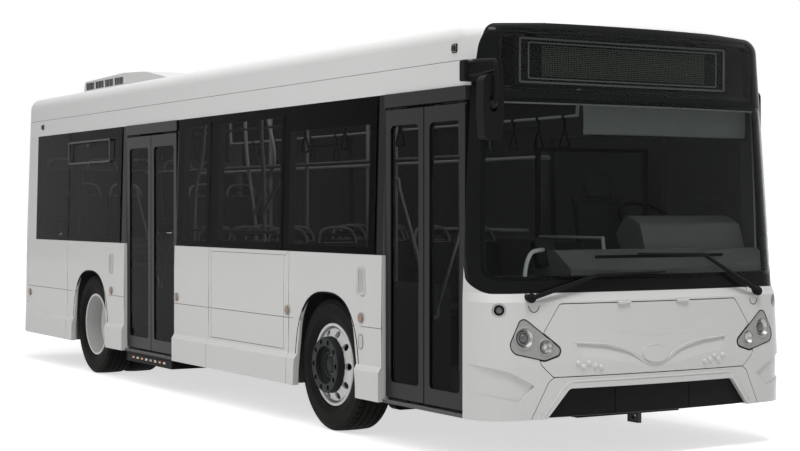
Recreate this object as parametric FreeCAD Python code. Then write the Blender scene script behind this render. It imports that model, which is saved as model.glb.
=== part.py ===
"""Midi-length low-floor city bus: body, glazing, saloon, axles, doors and lids.

Millimetres. +Z is up, the bus faces -Y and its doors are on -X (the near side).
The origin is on the ground, under the middle of the body.
"""
import FreeCAD, Part
import math
import os
from functools import lru_cache
from FreeCAD import Vector as V

os.makedirs("parts", exist_ok=True)

# ---------------------------------------------------------------- driving sizes
WALL = 60                  # side wall, skin to lining
GLASS = 8                  # bonded panes
FIT = 0.3                  # gap between pieces that seat on each other
JOINT = 6                  # open joint between neighbouring body panels
HALF_W = 1250              # body half width at the side panels
SKIRT_Z = 290              # lower edge of the body
BELT_Z = 1285              # window sill
BAND_Z = 2372              # top of the dark window band
GUTTER_Z = 2536            # roof rail line
ROOF_Z = 2822              # highest point of the roof skin
ROOF_CROWN = 45            # how much the roof rises to its middle
ROOF_EDGE_R = 120          # rounded roof edge
SIDE_END = 4330            # where the flat sides end, front and rear

# Plan sections of the body, from the skirt up: height, half width, front y,
# front corner radius, rear y, rear corner radius
SECTIONS = [
    (SKIRT_Z, HALF_W, -4702, 250, 4700, 250),
    (620, HALF_W, -4712, 250, 4670, 250),
    (1020, HALF_W, -4684, 250, 4650, 250),
    (1080, HALF_W, -4646, 245, 4650, 250),
    (GUTTER_Z, HALF_W - 38, -4527, 215, 4590, 230),
    (ROOF_Z + 80, HALF_W - 48, -4500, 205, 4572, 230),
]
FRONT_BOW_R = 7500         # plan radius of the bowed front
REAR_BOW_R = 14000         # plan radius of the rear wall

# Axles and wheels
FRONT_AXLE_Y = -2530
REAR_AXLE_Y = 2400
TYRE_R = 479
TYRE_W = 275
RIM_SEAT_R = 286
RIM_FLANGE_R = 298
RIM_W = 210
RIM_T = 9
AXLE_Z = TYRE_R
FRONT_TRACK = 2150         # between tyre centre planes
KINGPIN_X = 930
KINGPIN_R = 22
TWIN_SPACING = 305
REAR_OUTER_X = 1075
SPINDLE_R = 42
PIN_GAP = 0.05             # running clearance of pins and spindles

# Wheel arches in the side walls: half length at the skirt, top height
ARCH = [(485, 180, 0), (478, 400, 500), (404, 800, 330), (262, 1006, 240)]
ARCH_SKIN = 22             # wall thickness left round a wheel
ARCH_POCKET = 590
BOX_WALL = 20
FRONT_BOX = dict(half=620, inner=575, top=1060)
REAR_BOX = dict(half=560, inner=610, top=1060)

# Floor
FLOOR_T = 20
FLOOR_Z = SKIRT_Z + FLOOR_T    # low floor, door to door
STEP_Y = 1640              # first step to the rear platform
STEP_RUN = 260
MID_STEP_Z = 520
PLATFORM_Z = 730
PODIUM_Y = 3450            # engine podium under the rear bench
PODIUM_Z = 1010

# Doors: name, opening start and end along y
DOORS = [("front", -4355, -3335), ("rear", 285, 1485)]
LEAF_T = 38
LEAF_X = -1203             # middle of the leaf's thickness
LEAF_BOTTOM = 331
LEAF_TOP = 2262
LEAF_JAMB_GAP = 14         # leaf edge to jamb
LEAF_MEET_GAP = 12         # between the two leaves
ARM_AXIS = 40              # arm pivot to jamb
ARM_T = 8
ARM_GAP = 6                # leaf edge to arm
ARM_PIN_R = 7
LEAF_STILE = 62            # leaf frame round its pane
LEAF_LOW_RAIL = 105
LEAF_PANE_T = 6
HEADER_Z = LEAF_TOP + 2 * ARM_GAP + ARM_T

# Window panes along y: side, rear edge, front edge, clear opening's rear and front
# edges and its sill and head (pillars stand between the clear openings)
NEAR_PANES = [
    ("rear_quarter", 4080, 3066, 3925, 3090, 1322, 2310),
    ("hopper", 3054, 1606, 2850, 1715, 1330, 2280),
    ("mid", 240, -442, 130, -352, 1330, 2310),
    ("long", -454, -1802, -594, -1742, 1345, 2300),
    ("fore", -1814, -3230, -1900, -3125, 1335, 2185),
]
OFF_PANES = [
    ("rear_quarter", 4080, 3066, 3925, 3090, 1322, 2310),
    ("hopper", 3054, 1642, 2850, 1725, 1330, 2280),
    ("door_side", 1630, 252, 1560, 340, 1330, 2310),
    ("mid", 240, -442, 130, -352, 1330, 2310),
    ("long", -454, -1802, -594, -1742, 1345, 2300),
    ("fore", -1814, -3230, -1900, -3125, 1335, 2185),
    ("driver", -3242, -4290, -3330, -4200, 1322, 2185),
]
PILLAR_GAP = 1.0
PANE_GAP = 2               # bonded pane to its rebate

# Front face outlines in x and z: right half, from the bottom up, with corner radii
MASK_HALF = [(1236, 1078, 95), (1238, 1340, 900), (1203, 2240, 900), (1150, 2640, 260), (1096, 2764, 110),
             (700, 2782, 900)]
SCREEN_HALF = [(1190, 1150, 90), (1186, 1400, 900), (1150, 2296, 40)]
SIGN_HALF = [(1030, 2332, 25), (1052, 2735, 80)]
FLAP_TOP = 1002
FLAP_HALF = [(775, 552, 14), (872, 640, 60), (862, 790, 200), (715, FLAP_TOP, 30)]
LAMP = [(988, 935, 38), (1098, 715, 60), (838, 655, 60), (688, 700, 34)]
LAMP_REFLECTORS = [(973, 798, 62), (828, 738, 46)]       # x, z, radius
BUMPER_HALF = [(768, 546, 14), (806, 520, 14), (925, SKIRT_Z, 6)]
MOUTH_HALF = [(664, 476, 44), (866, 240, 6)]
FLAP_T = 24
FLAP_LAMP_GAP = 8
LAMP_DEPTH = 52
HINGE_R = 11               # lid hinges: barrel radius, pin radius, barrel length, ear length
HINGE_PIN_R = 4
HINGE_BARREL = 70
HINGE_EAR = 14
HINGE_ROOM = 3             # cleared round a barrel or ear in the other panel

REBATE = 26                # how far a bonded pane's rim reaches over its frame

# Pressings of the nose. The swoosh fades out downwards from a crisp upper edge and the
# smile-shaped ledge fades out upwards; the oval boss stands bare between the swoosh's arms
SWOOSH_HALF = [(60, 581, 200), (330, 640, 900), (560, 668, 30), (618, 756, 12), (395, 738, 400), (205, 692, 300),
               (106, 622, 60), (60, 598, 40)]
SWOOSH_FOOT_Z = 578        # height of its lower edge in the middle
SWOOSH_RISE = 9            # degrees its arms climb outwards
SWOOSH_SLOPE = 9           # degrees its floor leans back
SMILE = [(-640, 1000, 0), (-560, 905, 200), (-300, 812, 300), (0, 770, 900), (300, 812, 300), (560, 905, 200),
         (640, 1000, 0)]
SMILE_SLOPE = 1.8
BOSS = dict(z=669, half_w=106, half_h=54, out=9)
LIP_BAND = ((58, 4), (34, 9))   # raised bands round the bumper's mouth: width, how far out
NOTCH_HALF = [(905, 500, 8), (1010, 402, 14), (1300, 470, 0), (1300, 650, 0), (1080, 592, 40)]
NOTCH_DEPTH = 16
TURN_LAMP = dict(x=1118, y=-4569, z=972, turned=35, r=33, depth=24, dish_r=46, dish_depth=7)

# Rear face outlines in x and z, with corner radii
REAR_WINDOW = [(-900, 1420, 90), (900, 1420, 90), (860, 2190, 110), (-860, 2190, 110)]
HATCH = [(-860, 640, 60), (860, 640, 60), (860, 1330, 60), (-860, 1330, 60)]
TAIL = [(960, 690, 40), (1130, 690, 40), (1130, 1250, 40), (960, 1250, 40)]
TAIL_T = 30
HATCH_T = 32
HATCH_HINGE_X = (-420, 0, 420)
HATCH_HINGE_Y = 4641       # just proud of the rear skin
HATCH_HINGE_Z = 1330 + JOINT / 2
FLAP_HINGE_X = (-240, 240)
FLAP_HINGE_Y = -4687       # just proud of the nose
FLAP_HINGE_Z = FLAP_TOP + JOINT / 2

WORK = 6000                # larger than the bus: for cutting volumes


# ---------------------------------------------------------------- plain helpers
def box(x0, x1, y0, y1, z0, z1):
    low = V(min(x0, x1), min(y0, y1), min(z0, z1))
    return Part.makeBox(abs(x1 - x0), abs(y1 - y0), abs(z1 - z0), low)


def cyl(r, start, end):
    start, end = V(*start), V(*end)
    return Part.makeCylinder(r, (end - start).Length, start, end - start)


def mirror_x(shape):
    return shape.mirror(V(0, 0, 0), V(1, 0, 0))


def fuse(shapes):
    shapes = list(shapes)
    if len(shapes) == 1:
        return shapes[0]
    return shapes[0].multiFuse(shapes[1:]).removeSplitter()


def cut(shape, tools):
    tools = list(tools)
    return shape.cut(tools) if tools else shape


def place(plane, u, v):
    return {"XZ": V(u, 0, v), "YZ": V(0, u, v), "XY": V(u, v, 0)}[plane]


NORMAL = {"XZ": V(0, 1, 0), "YZ": V(1, 0, 0), "XY": V(0, 0, 1)}


def outline(plane, points):
    """Closed wire of straight runs whose corners are rounded to each point's own radius."""
    pts = [(place(plane, p[0], p[1]), p[2] if len(p) > 2 else 0) for p in points]
    corners = []
    for i, (here, radius) in enumerate(pts):
        back = (pts[i - 1][0] - here)
        ahead = (pts[(i + 1) % len(pts)][0] - here)
        if radius <= 0:
            corners.append((here, None, here))
            continue
        half = back.getAngle(ahead) / 2
        reach = radius / math.tan(half)
        limit = 0.49 * min(back.Length, ahead.Length)
        if reach > limit:
            reach = limit
            radius = reach * math.tan(half)
        back.normalize()
        ahead.normalize()
        middle = back + ahead
        middle.normalize()
        centre = here + middle * (radius / math.sin(half))
        corners.append((here + back * reach, centre - middle * radius, here + ahead * reach))
    edges = []
    for i, (enter, mid, leave) in enumerate(corners):
        if mid is not None:
            edges.append(Part.Arc(enter, mid, leave).toShape())
        following = corners[(i + 1) % len(corners)][0]
        if leave.distanceToPoint(following) > 1e-6:
            edges.append(Part.makeLine(leave, following))
    return Part.Wire(edges)


def prism(plane, points, low, high):
    """Outline extruded along its plane's normal, from low to high."""
    face = Part.Face(outline(plane, points))
    face.translate(NORMAL[plane] * low)
    return face.extrude(NORMAL[plane] * (high - low))


def offset(points, by):
    """Outline with every edge moved outwards by the same distance."""
    ring = list(zip(points[-1:] + points[:-1], points, points[1:] + points[:1]))
    turn = math.copysign(1, sum(a[0] * b[1] - b[0] * a[1] for a, b, c in ring))
    moved = []
    for before, here, after in ring:
        enter = V(here[0] - before[0], here[1] - before[1], 0).normalize()
        leave = V(after[0] - here[0], after[1] - here[1], 0).normalize()
        out = (enter + leave).cross(V(0, 0, turn)) * (by / (1 + enter.dot(leave)))
        bulge = by if enter.cross(leave).z * turn > 0 else -by
        moved.append((here[0] + out.x, here[1] + out.y, max(here[2] + bulge, 0) if here[2] else 0))
    return moved


def whole(half):
    """Mirror a right half outline (x, z, r) to the left."""
    return half + [(-x, z, r) for x, z, r in reversed(half)]


def tube(points, radius, bend):
    """Round bar along straight runs joined by tangent arcs of one bend radius."""
    vs = [V(*p) for p in points]
    edges = []
    at = vs[0]
    for here, ahead in zip(vs[1:-1], vs[2:]):
        back, onward = (at - here), (ahead - here)
        half = back.getAngle(onward) / 2
        reach = bend / math.tan(half)
        back.normalize()
        onward.normalize()
        middle = back + onward
        middle.normalize()
        enter, leave = here + back * reach, here + onward * reach
        mid = here + middle * (bend / math.sin(half) - bend)
        edges.append(Part.makeLine(at, enter))
        edges.append(Part.Arc(enter, mid, leave).toShape())
        at = leave
    edges.append(Part.makeLine(at, vs[-1]))
    path = Part.Wire(edges)
    ring = Part.Wire(Part.makeCircle(radius, vs[0], vs[1] - vs[0]))
    return path.makePipeShell([ring], True, True)


def revolve_x(profile, x, y, z):
    """Solid turned about a line along X through (x, y, z); the profile is (along, radius, corner)."""
    face = Part.Face(outline("XY", profile))
    solid = face.revolve(V(0, 0, 0), V(1, 0, 0), 360)
    solid.translate(V(x, y, z))
    return solid


written = []


def save(name, shapes):
    shapes = shapes if isinstance(shapes, list) else [shapes]
    solids = [s for shape in shapes for s in shape.Solids]
    for solid in solids:
        if solid.Volume < 0:
            solid.reverse()
    result = solids[0] if len(solids) == 1 else Part.makeCompound(solids)
    result.exportStep("parts/%s.step" % name)
    written.append(name)
    box_ = result.BoundBox
    print("%-22s %2d solids %4d faces  %8.1f l  y %6.0f..%6.0f z %5.0f..%5.0f" % (
        name, len(solids), len(result.Faces), result.Volume / 1e6, box_.YMin, box_.YMax, box_.ZMin, box_.ZMax))
    return result


# ---------------------------------------------------------------- body envelope
def section(level, inset):
    """Closed plan outline at one height: bowed front and rear, round corners, straight sides."""
    z, half, front, r_front, rear, r_rear = level
    half, front, rear = half - inset, front + inset, rear - inset
    r_front, r_rear = r_front - inset, r_rear - inset

    def end(tip, r, bow, way):
        bow = bow - inset
        corner_x = half - r
        centre = tip - way * bow
        corner_y = centre + way * math.sqrt((bow - r) ** 2 - corner_x ** 2)
        lean = math.asin(corner_x / (bow - r))
        meet = (corner_x + r * math.sin(lean), corner_y + way * r * math.cos(lean))
        half_turn = (math.pi / 2 - lean) / 2
        mid = (corner_x + r * math.cos(half_turn), corner_y + way * r * math.sin(half_turn))
        return corner_y, meet, mid

    fy, f_meet, f_mid = end(front, r_front, FRONT_BOW_R, -1)
    ry, r_meet, r_mid = end(rear, r_rear, REAR_BOW_R, 1)

    def at(p, side=1):
        return V(side * p[0], p[1], z)

    edges = [
        Part.Arc(at(f_meet, -1), V(0, front, z), at(f_meet)).toShape(),
        Part.Arc(at(f_meet), at(f_mid), V(half, fy, z)).toShape(),
        Part.makeLine(V(half, fy, z), V(half, ry, z)),
        Part.Arc(V(half, ry, z), at(r_mid), at(r_meet)).toShape(),
        Part.Arc(at(r_meet), V(0, rear, z), at(r_meet, -1)).toShape(),
        Part.Arc(at(r_meet, -1), at(r_mid, -1), V(-half, ry, z)).toShape(),
        Part.makeLine(V(-half, ry, z), V(-half, fy, z)),
        Part.Arc(V(-half, fy, z), at(f_mid, -1), at(f_meet, -1)).toShape(),
    ]
    return Part.Wire(edges)


@lru_cache(maxsize=None)
def envelope(inset):
    """The body's outer form, moved inwards by inset: bowed ends and a crowned, round-edged roof.

    Returns the part below the gutter line and the part above it.
    """
    bands = [Part.makeLoft([section(low, inset), section(high, inset)], True, True)
             for low, high in zip(SECTIONS[:-2], SECTIONS[1:-1])]
    low_part = fuse(bands)
    low, high = SECTIONS[-2:]
    high_part = Part.makeLoft([section(low, inset), section(high, inset)], True, True)
    crown_r = (high[1] ** 2 + ROOF_CROWN ** 2) / (2 * ROOF_CROWN)
    axis_z = ROOF_Z - inset - crown_r
    crown = Part.makeCylinder(crown_r, 2 * WORK, V(0, -WORK, axis_z), V(0, 1, 0))
    crown.rotate(V(0, 0, axis_z), V(0, 1, 0), 180)
    high_part = high_part.common(crown)
    rim = [e for e in high_part.Edges if e.BoundBox.ZMin > GUTTER_Z + ROOF_CROWN]
    return low_part, high_part.makeFillet(ROOF_EDGE_R - inset * 2 / 3, rim)


body_low, body_high = envelope(0)
inner_low, inner_high = envelope(WALL)
pane_low, pane_high = envelope(GLASS)
SKIN_LOW = body_low.cut(inner_low)
SKIN_HIGH = body_high.cut(inner_high)
PANES_LOW = body_low.cut(pane_low)
PANES_HIGH = body_high.cut(pane_high)
INSIDE_LOW = envelope(WALL + FIT)[0]


FRONT_END = DOORS[0][1] - JOINT / 2


def front_zone(half, by=0):
    """Volume behind an outline of the front face, back to the front door's jamb; by moves it outwards."""
    return prism("XZ", offset(whole(half), by), -WORK, FRONT_END)


def lid_hinge(x, y, z):
    """Hinge of a lid that turns about a line along X.

    Returns the fixed ears with their pin, the lid's barrel, the barrel's room in the body and the
    rooms of the ears and pin in the lid.
    """
    half = HINGE_BARREL / 2
    ear_start, ear_end = half + FIT, half + FIT + HINGE_EAR

    def bar(r, start, end):
        return cyl(r, (x + start, y, z), (x + end, y, z))

    ears = fuse([bar(HINGE_R, ear_start, ear_end), bar(HINGE_R, -ear_end, -ear_start),
                 bar(HINGE_PIN_R, -ear_end, ear_end)])
    barrel = bar(HINGE_R, -half, half).cut(bar(HINGE_PIN_R + PIN_GAP, -WORK, WORK))
    barrel_room = bar(HINGE_R + HINGE_ROOM, -ear_start, ear_start)
    lid_rooms = [bar(HINGE_R + HINGE_ROOM, s * half, s * (ear_end + HINGE_ROOM)) for s in (-1, 1)]
    lid_rooms.append(bar(HINGE_PIN_R + PIN_GAP, -half - 1, half + 1))
    return ears, barrel, barrel_room, lid_rooms


# ---------------------------------------------------------------- side panels and skirts
def arch_zone(axle_y):
    """Wheel arch opening in a side wall: a flattened arch on slightly splayed legs."""
    ahead = [(axle_y - half, z, r) for half, z, r in ARCH]
    behind = [(axle_y + half, z, r) for half, z, r in reversed(ARCH)]
    return prism("YZ", ahead + behind, -WORK, WORK)


def wheel_pocket(axle_y, size):
    """Room cut from the wall's inner side so that the tyre runs close behind a thin arch skin."""
    half = size["half"] - BOX_WALL
    reach = HALF_W - ARCH_SKIN
    return box(-reach, reach, axle_y - half, axle_y + half, 0, size["top"] - BOX_WALL)


LEDGE_OUT = 25
LEDGE_TOP = 515
LEDGE_SLOPE = 28


def side_panel(y0, y1):
    """Near-side wall panel from skirt to sill, with its thicker lower band."""
    panel = SKIN_LOW.common(box(-WORK, 0, y0, y1, SKIRT_Z, BELT_Z - FIT))
    inner_x = HALF_W - 10
    ledge = prism("XZ", [(-inner_x, SKIRT_Z), (-inner_x, LEDGE_TOP + LEDGE_SLOPE * 0.4),
                         (-HALF_W, LEDGE_TOP + LEDGE_SLOPE * 0.4), (-HALF_W - LEDGE_OUT, LEDGE_TOP - LEDGE_SLOPE),
                         (-HALF_W - LEDGE_OUT, SKIRT_Z)], y0, y1)
    return fuse([panel, ledge])


# Pressed lines of the side walls, all cut to one depth: the waist seam, a thin frame, small flaps
SEAM_DEPTH = 5
SEAM_W = 4
WAIST_SEAM_Z = 785
FRAME_LINE = (-1850, -500, 545, 1256)
SMALL_FLAPS = [(-3115, -2990, 996, 1200), (1760, 1880, 990, 1180)]      # near side only


def line_round(y0, y1, z0, z1, r):
    """Thin line along a rounded oblong on the side wall."""
    ring = [(y0, z0, r), (y1, z0, r), (y1, z1, r), (y0, z1, r)]
    return prism("YZ", ring, -WORK, WORK).cut(prism("YZ", offset(ring, -SEAM_W), -WORK, WORK))


def side_lines(flaps):
    skin = box(-WORK, -HALF_W + SEAM_DEPTH, -WORK, WORK, 0, WORK)
    lines = [box(-WORK, WORK, -WORK, WORK, WAIST_SEAM_Z, WAIST_SEAM_Z + SEAM_W), line_round(*FRAME_LINE, 14)]
    lines += [line_round(*flap, 26) for flap in flaps]
    return [line.common(skin) for line in lines]


def panels(cuts, arches, flaps=()):
    shapes = []
    lines = side_lines(flaps)
    for y0, y1 in cuts:
        shape = side_panel(y0 + JOINT / 2, y1 - JOINT / 2)
        for axle_y in arches:
            if y0 < axle_y < y1:
                size = FRONT_BOX if axle_y == FRONT_AXLE_Y else REAR_BOX
                shape = shape.cut([arch_zone(axle_y), wheel_pocket(axle_y, size)])
        shapes.append(shape.cut(lines))
    return shapes


FRONT_JAMBS = DOORS[0][1:]
REAR_JAMBS = DOORS[1][1:]
ARCH_AXLES = [FRONT_AXLE_Y, REAR_AXLE_Y]
NEAR_CUTS = [(FRONT_JAMBS[1], -1932), (-1932, -448), (-448, REAR_JAMBS[0]),
             (REAR_JAMBS[1], 3060), (3060, SIDE_END)]
OFF_CUTS = [(-SIDE_END, -3236), (-3236, -1932), (-1932, -448), (-448, 246), (246, 1636), (1636, 3060),
            (3060, SIDE_END)]
near_panels = panels(NEAR_CUTS, ARCH_AXLES, SMALL_FLAPS)
off_panels = [mirror_x(p) for p in panels(OFF_CUTS, ARCH_AXLES)]
save("near_side_panels", near_panels)
save("off_side_panels", off_panels)


# ---------------------------------------------------------------- window band
def band_zone(side, y0, y1, z0=BELT_Z, z1=BAND_Z):
    return box(0, side * WORK, y0, y1, z0, z1)


def glazing(side, table):
    return [PANES_LOW.common(band_zone(side, rear - PILLAR_GAP, front + PILLAR_GAP, BELT_Z + 2, BAND_Z - 2))
            for name, rear, front, *clear in table]


def pillars(side, table, ends):
    """Posts between the clear openings, and the sill and head fillers of each opening."""
    inner = body_low.common(box(-WORK, WORK, -WORK, WORK, BELT_Z, BAND_Z))
    ring = envelope(GLASS + FIT)[0].common(inner).cut(inner_low)
    clear = [(row[3], row[4]) for row in table]
    spans = []
    rear_end = ends[0]
    for rear, front in clear:
        spans.append((rear_end, rear))
        rear_end = front
    spans.append((rear_end, ends[1]))
    posts = []
    for y0, y1 in spans:
        posts.append(ring.common(band_zone(side, y1, y0, BELT_Z + FIT, BAND_Z - FIT)))
    for name, rear, front, y0, y1, sill, head in table:
        posts.append(ring.common(band_zone(side, y1 + FIT, y0 - FIT, BELT_Z + FIT, sill)))
        posts.append(ring.common(band_zone(side, y1 + FIT, y0 - FIT, head, BAND_Z - FIT)))
    return posts


save("body_glazing", glazing(-1, NEAR_PANES) + glazing(1, OFF_PANES))
save("rear_window", PANES_LOW.common(prism("XZ", offset(REAR_WINDOW, -FIT), 3900, WORK)))
near_front_rows = [r for r in NEAR_PANES if r[1] < REAR_JAMBS[0]]
near_rear_rows = [r for r in NEAR_PANES if r[1] > REAR_JAMBS[1]]
save("window_pillars", pillars(-1, near_rear_rows, (4080 - FIT, REAR_JAMBS[1] + JOINT))
     + pillars(-1, near_front_rows, (REAR_JAMBS[0] - JOINT, FRONT_JAMBS[1] + JOINT))
     + pillars(1, OFF_PANES, (4080 - FIT, -SIDE_END + FIT)))


# ---------------------------------------------------------------- roof and ends
CORNER_END = {-1: FRONT_JAMBS[0] - JOINT / 2, 1: -SIDE_END - JOINT / 2}     # where the corner panels stop
mask_zone = front_zone(MASK_HALF)
roof = SKIN_HIGH.cut(mask_zone)
cant = [SKIN_LOW.common(box(0, side * WORK, CORNER_END[side] + JOINT / 2, SIDE_END, BAND_Z, GUTTER_Z - 3))
        for side in (-1, 1)]
save("roof_panels", [roof] + cant)

rear_zone = fuse([box(-WORK, WORK, SIDE_END, WORK, 612, GUTTER_Z - 3),
                  box(-WORK, WORK, 4080 + FIT, SIDE_END + 1, BELT_Z + FIT, BAND_Z - FIT)])
hatch_hinges = [lid_hinge(x, HATCH_HINGE_Y, HATCH_HINGE_Z) for x in HATCH_HINGE_X]


def rear_face_zone(points, by=0):
    return prism("XZ", offset(points, by), 3900, WORK)


tail_outlines = [[(s * x, z, r) for x, z, r in TAIL] for s in (-1, 1)]
rear_skin = cut(SKIN_LOW.common(rear_zone),
                [rear_face_zone(REAR_WINDOW).common(body_low.cut(envelope(GLASS + FIT)[0])),
                 rear_face_zone(REAR_WINDOW, -REBATE), rear_face_zone(HATCH, JOINT)]
                + [rear_face_zone(t).common(body_low.cut(envelope(TAIL_T)[0])) for t in tail_outlines]
                + [room for ears, barrel, room, ear_room in hatch_hinges])
rear_skin = fuse([rear_skin] + [ears for ears, *rest in hatch_hinges])
save("rear_body", rear_skin)
save("tail_lamps", [rear_face_zone(t, -FIT).common(body_low.cut(envelope(TAIL_T - FIT)[0])) for t in tail_outlines])
rear_bumper_section = SKIN_LOW.common(box(-WORK, WORK, SIDE_END, WORK, SKIRT_Z, 606))
save("rear_bumper", rear_bumper_section)

# ---------------------------------------------------------------- front end
screen_zone = front_zone(SCREEN_HALF)
sign_zone = front_zone(SIGN_HALF)
screen_inner = front_zone(SCREEN_HALF, -REBATE)
sign_inner = front_zone(SIGN_HALF, -REBATE)


def masked(skin, panes):
    shape = skin.common(mask_zone)
    return cut(shape, [panes.common(screen_zone), panes.common(sign_zone), screen_inner, sign_inner])


mask_low = masked(SKIN_LOW, body_low.cut(envelope(GLASS + FIT)[0]))
mask_high = masked(SKIN_HIGH, body_high.cut(envelope(GLASS + FIT)[1]))
save("front_mask", fuse([mask_low, mask_high]))
save("windscreen", PANES_LOW.common(front_zone(SCREEN_HALF, -PANE_GAP)))
sign_pane_zone = front_zone(SIGN_HALF, -PANE_GAP)
sign_pane = fuse([PANES_LOW.common(sign_pane_zone), PANES_HIGH.common(sign_pane_zone)])
SIGN_BOX = dict(half=880, y0=-4390, y1=-4240, low=2390, high=2700, wall=40)
sign_box = box(-SIGN_BOX["half"], SIGN_BOX["half"], SIGN_BOX["y0"], SIGN_BOX["y1"], SIGN_BOX["low"], SIGN_BOX["high"])
wall = SIGN_BOX["wall"]
sign_box = sign_box.cut(box(-SIGN_BOX["half"] + wall, SIGN_BOX["half"] - wall, -WORK, SIGN_BOX["y0"] + wall,
                            SIGN_BOX["low"] + wall, SIGN_BOX["high"] - wall))
hangers = [envelope(WALL + FIT)[1].common(box(s * 640, s * 700, SIGN_BOX["y1"] - 50, SIGN_BOX["y1"],
                                              SIGN_BOX["high"] - 10, WORK)) for s in (-1, 1)]
save("destination_sign", [sign_pane, fuse([sign_box] + hangers)])

# Corner panels: beside the flap and lamps, round to the door jamb, up the screen's edge
flap_zone = front_zone(FLAP_HALF)
bumper_zone = front_zone(BUMPER_HALF)
mouth_zone = front_zone(MOUTH_HALF)


def lamp_zone(side, by=0):
    return prism("XZ", offset([(side * x, z, r) for x, z, r in LAMP], by), -WORK, -4000)


def turn_lamp_seat(side):
    """Round seat with a shallow dish, square to the corner panel."""
    lamp = TURN_LAMP
    turned = math.radians(lamp["turned"])
    out = V(side * math.sin(turned), -math.cos(turned), 0)
    face = V(side * lamp["x"], lamp["y"], lamp["z"])
    return [Part.makeCylinder(r, deep + 60, face - out * deep, out)
            for r, deep in ((lamp["r"], lamp["depth"]), (lamp["dish_r"], lamp["dish_depth"]))]


body_back = body_low.translated(V(0, NOTCH_DEPTH, 0))
notches = [prism("XZ", [(s * x, z, r) for x, z, r in NOTCH_HALF], -WORK, -4000).cut(body_back) for s in (-1, 1)]
flap_hinges = [lid_hinge(x, FLAP_HINGE_Y, FLAP_HINGE_Z) for x in FLAP_HINGE_X]
corners = fuse([SKIN_LOW.common(box(0, side * WORK, -WORK, CORNER_END[side], SKIRT_Z, GUTTER_Z - 3))
                for side in (-1, 1)])
corners = cut(corners, [front_zone(MASK_HALF, JOINT), front_zone(FLAP_HALF, JOINT), front_zone(BUMPER_HALF, JOINT),
                        box(-760, 760, -WORK, -4000, SKIRT_Z, 548)]
              + [lamp_zone(side, FIT) for side in (-1, 1)] + [room for ears, barrel, room, ear_room in flap_hinges]
              + turn_lamp_seat(-1) + turn_lamp_seat(1) + notches)
corners = corners.multiFuse([ears for ears, *rest in flap_hinges])
save("front_corners", max(corners.Solids, key=lambda solid: solid.Volume))    # without the crumb behind the mask

bumper_skin = SKIN_LOW.common(bumper_zone).cut(mouth_zone)
lips = [envelope(-out)[0].cut(body_low).common(front_zone(MOUTH_HALF, wide)).common(bumper_zone).cut(mouth_zone)
        for wide, out in LIP_BAND]
save("bumper", fuse([bumper_skin] + lips))

LOWER_PANELS = [(-300, 300), (-900, -306), (306, 900)]
recess = envelope(22)[0].cut(envelope(WALL)[0]).common(box(-WORK, WORK, -WORK, -4000, 300, WORK))
mouth_fill = front_zone(MOUTH_HALF, -FIT)
save("lower_panels", [recess.common(mouth_fill).common(box(x0, x1, -WORK, -4000, 0, WORK))
                      for x0, x1 in LOWER_PANELS])



def leaned(foot, axis, degrees):
    """The body turned a little about a line on its nose, so that its skin leans back from that line."""
    shape = body_low.copy()
    shape.rotate(foot, axis, degrees)
    return shape


def swoosh(side):
    """One arm of the nose's swoosh: flush along its lower edge, deepest at its crisp upper edge."""
    arm = [(0, SWOOSH_HALF[0][1], 0)] + SWOOSH_HALF + [(0, SWOOSH_HALF[-1][1], 0)]
    rise = math.radians(SWOOSH_RISE)
    lean = leaned(V(0, -4704, SWOOSH_FOOT_Z), V(math.cos(rise), 0, side * math.sin(rise)), -SWOOSH_SLOPE)
    return prism("XZ", [(side * x, z, r) for x, z, r in arm], -WORK, -4600).cut(lean)


smile = prism("XZ", SMILE, -WORK, -4600).cut(leaned(V(0, -4685, 1000), V(1, 0, 0), SMILE_SLOPE))
oval = Part.Face(Part.Wire(Part.Ellipse(V(0, 0, 0), BOSS["half_w"], BOSS["half_h"]).toShape()))
oval.rotate(V(0, 0, 0), V(1, 0, 0), 90)
oval.translate(V(0, -4600, BOSS["z"]))
boss = oval.extrude(V(0, -200, 0)).common(envelope(-BOSS["out"])[0]).cut(envelope(FLAP_T)[0])
flap = body_low.cut(envelope(FLAP_T)[0]).common(flap_zone)
flap = cut(flap, [lamp_zone(side, FLAP_LAMP_GAP) for side in (-1, 1)] + [swoosh(side) for side in (-1, 1)] + [smile]
           + [room for ears, barrel, barrel_room, rooms in flap_hinges for room in rooms])
save("front_flap", fuse([flap, boss] + [barrel for ears, barrel, *rest in flap_hinges]))

lamp_units = []
for side in (-1, 1):
    unit = body_low.cut(envelope(LAMP_DEPTH)[0]).common(lamp_zone(side))
    for x, z, r in LAMP_REFLECTORS:
        bowl = Part.makeCone(r, r * 0.55, 44, V(side * x, -4700, z), V(0, 1, 0))
        unit = unit.cut(bowl)
    lamp_units.append(unit)
save("headlamps", lamp_units)

# ---------------------------------------------------------------- floor and wheel housings
def wheel_box(side, axle_y, size, sheet_floor):
    """Sheet housing over a wheel, open to the wall and to the road."""
    half, inner, top = size["half"], size["inner"], size["top"]
    wall_x = HALF_W - WALL - FIT
    outer = box(side * inner, side * wall_x, axle_y - half, axle_y + half, FLOOR_Z - FLOOR_T, top)
    hollow = box(side * (inner + BOX_WALL), side * WORK, axle_y - half + BOX_WALL, axle_y + half - BOX_WALL,
                 -WORK, top - BOX_WALL)
    return outer.cut(hollow)


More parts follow.
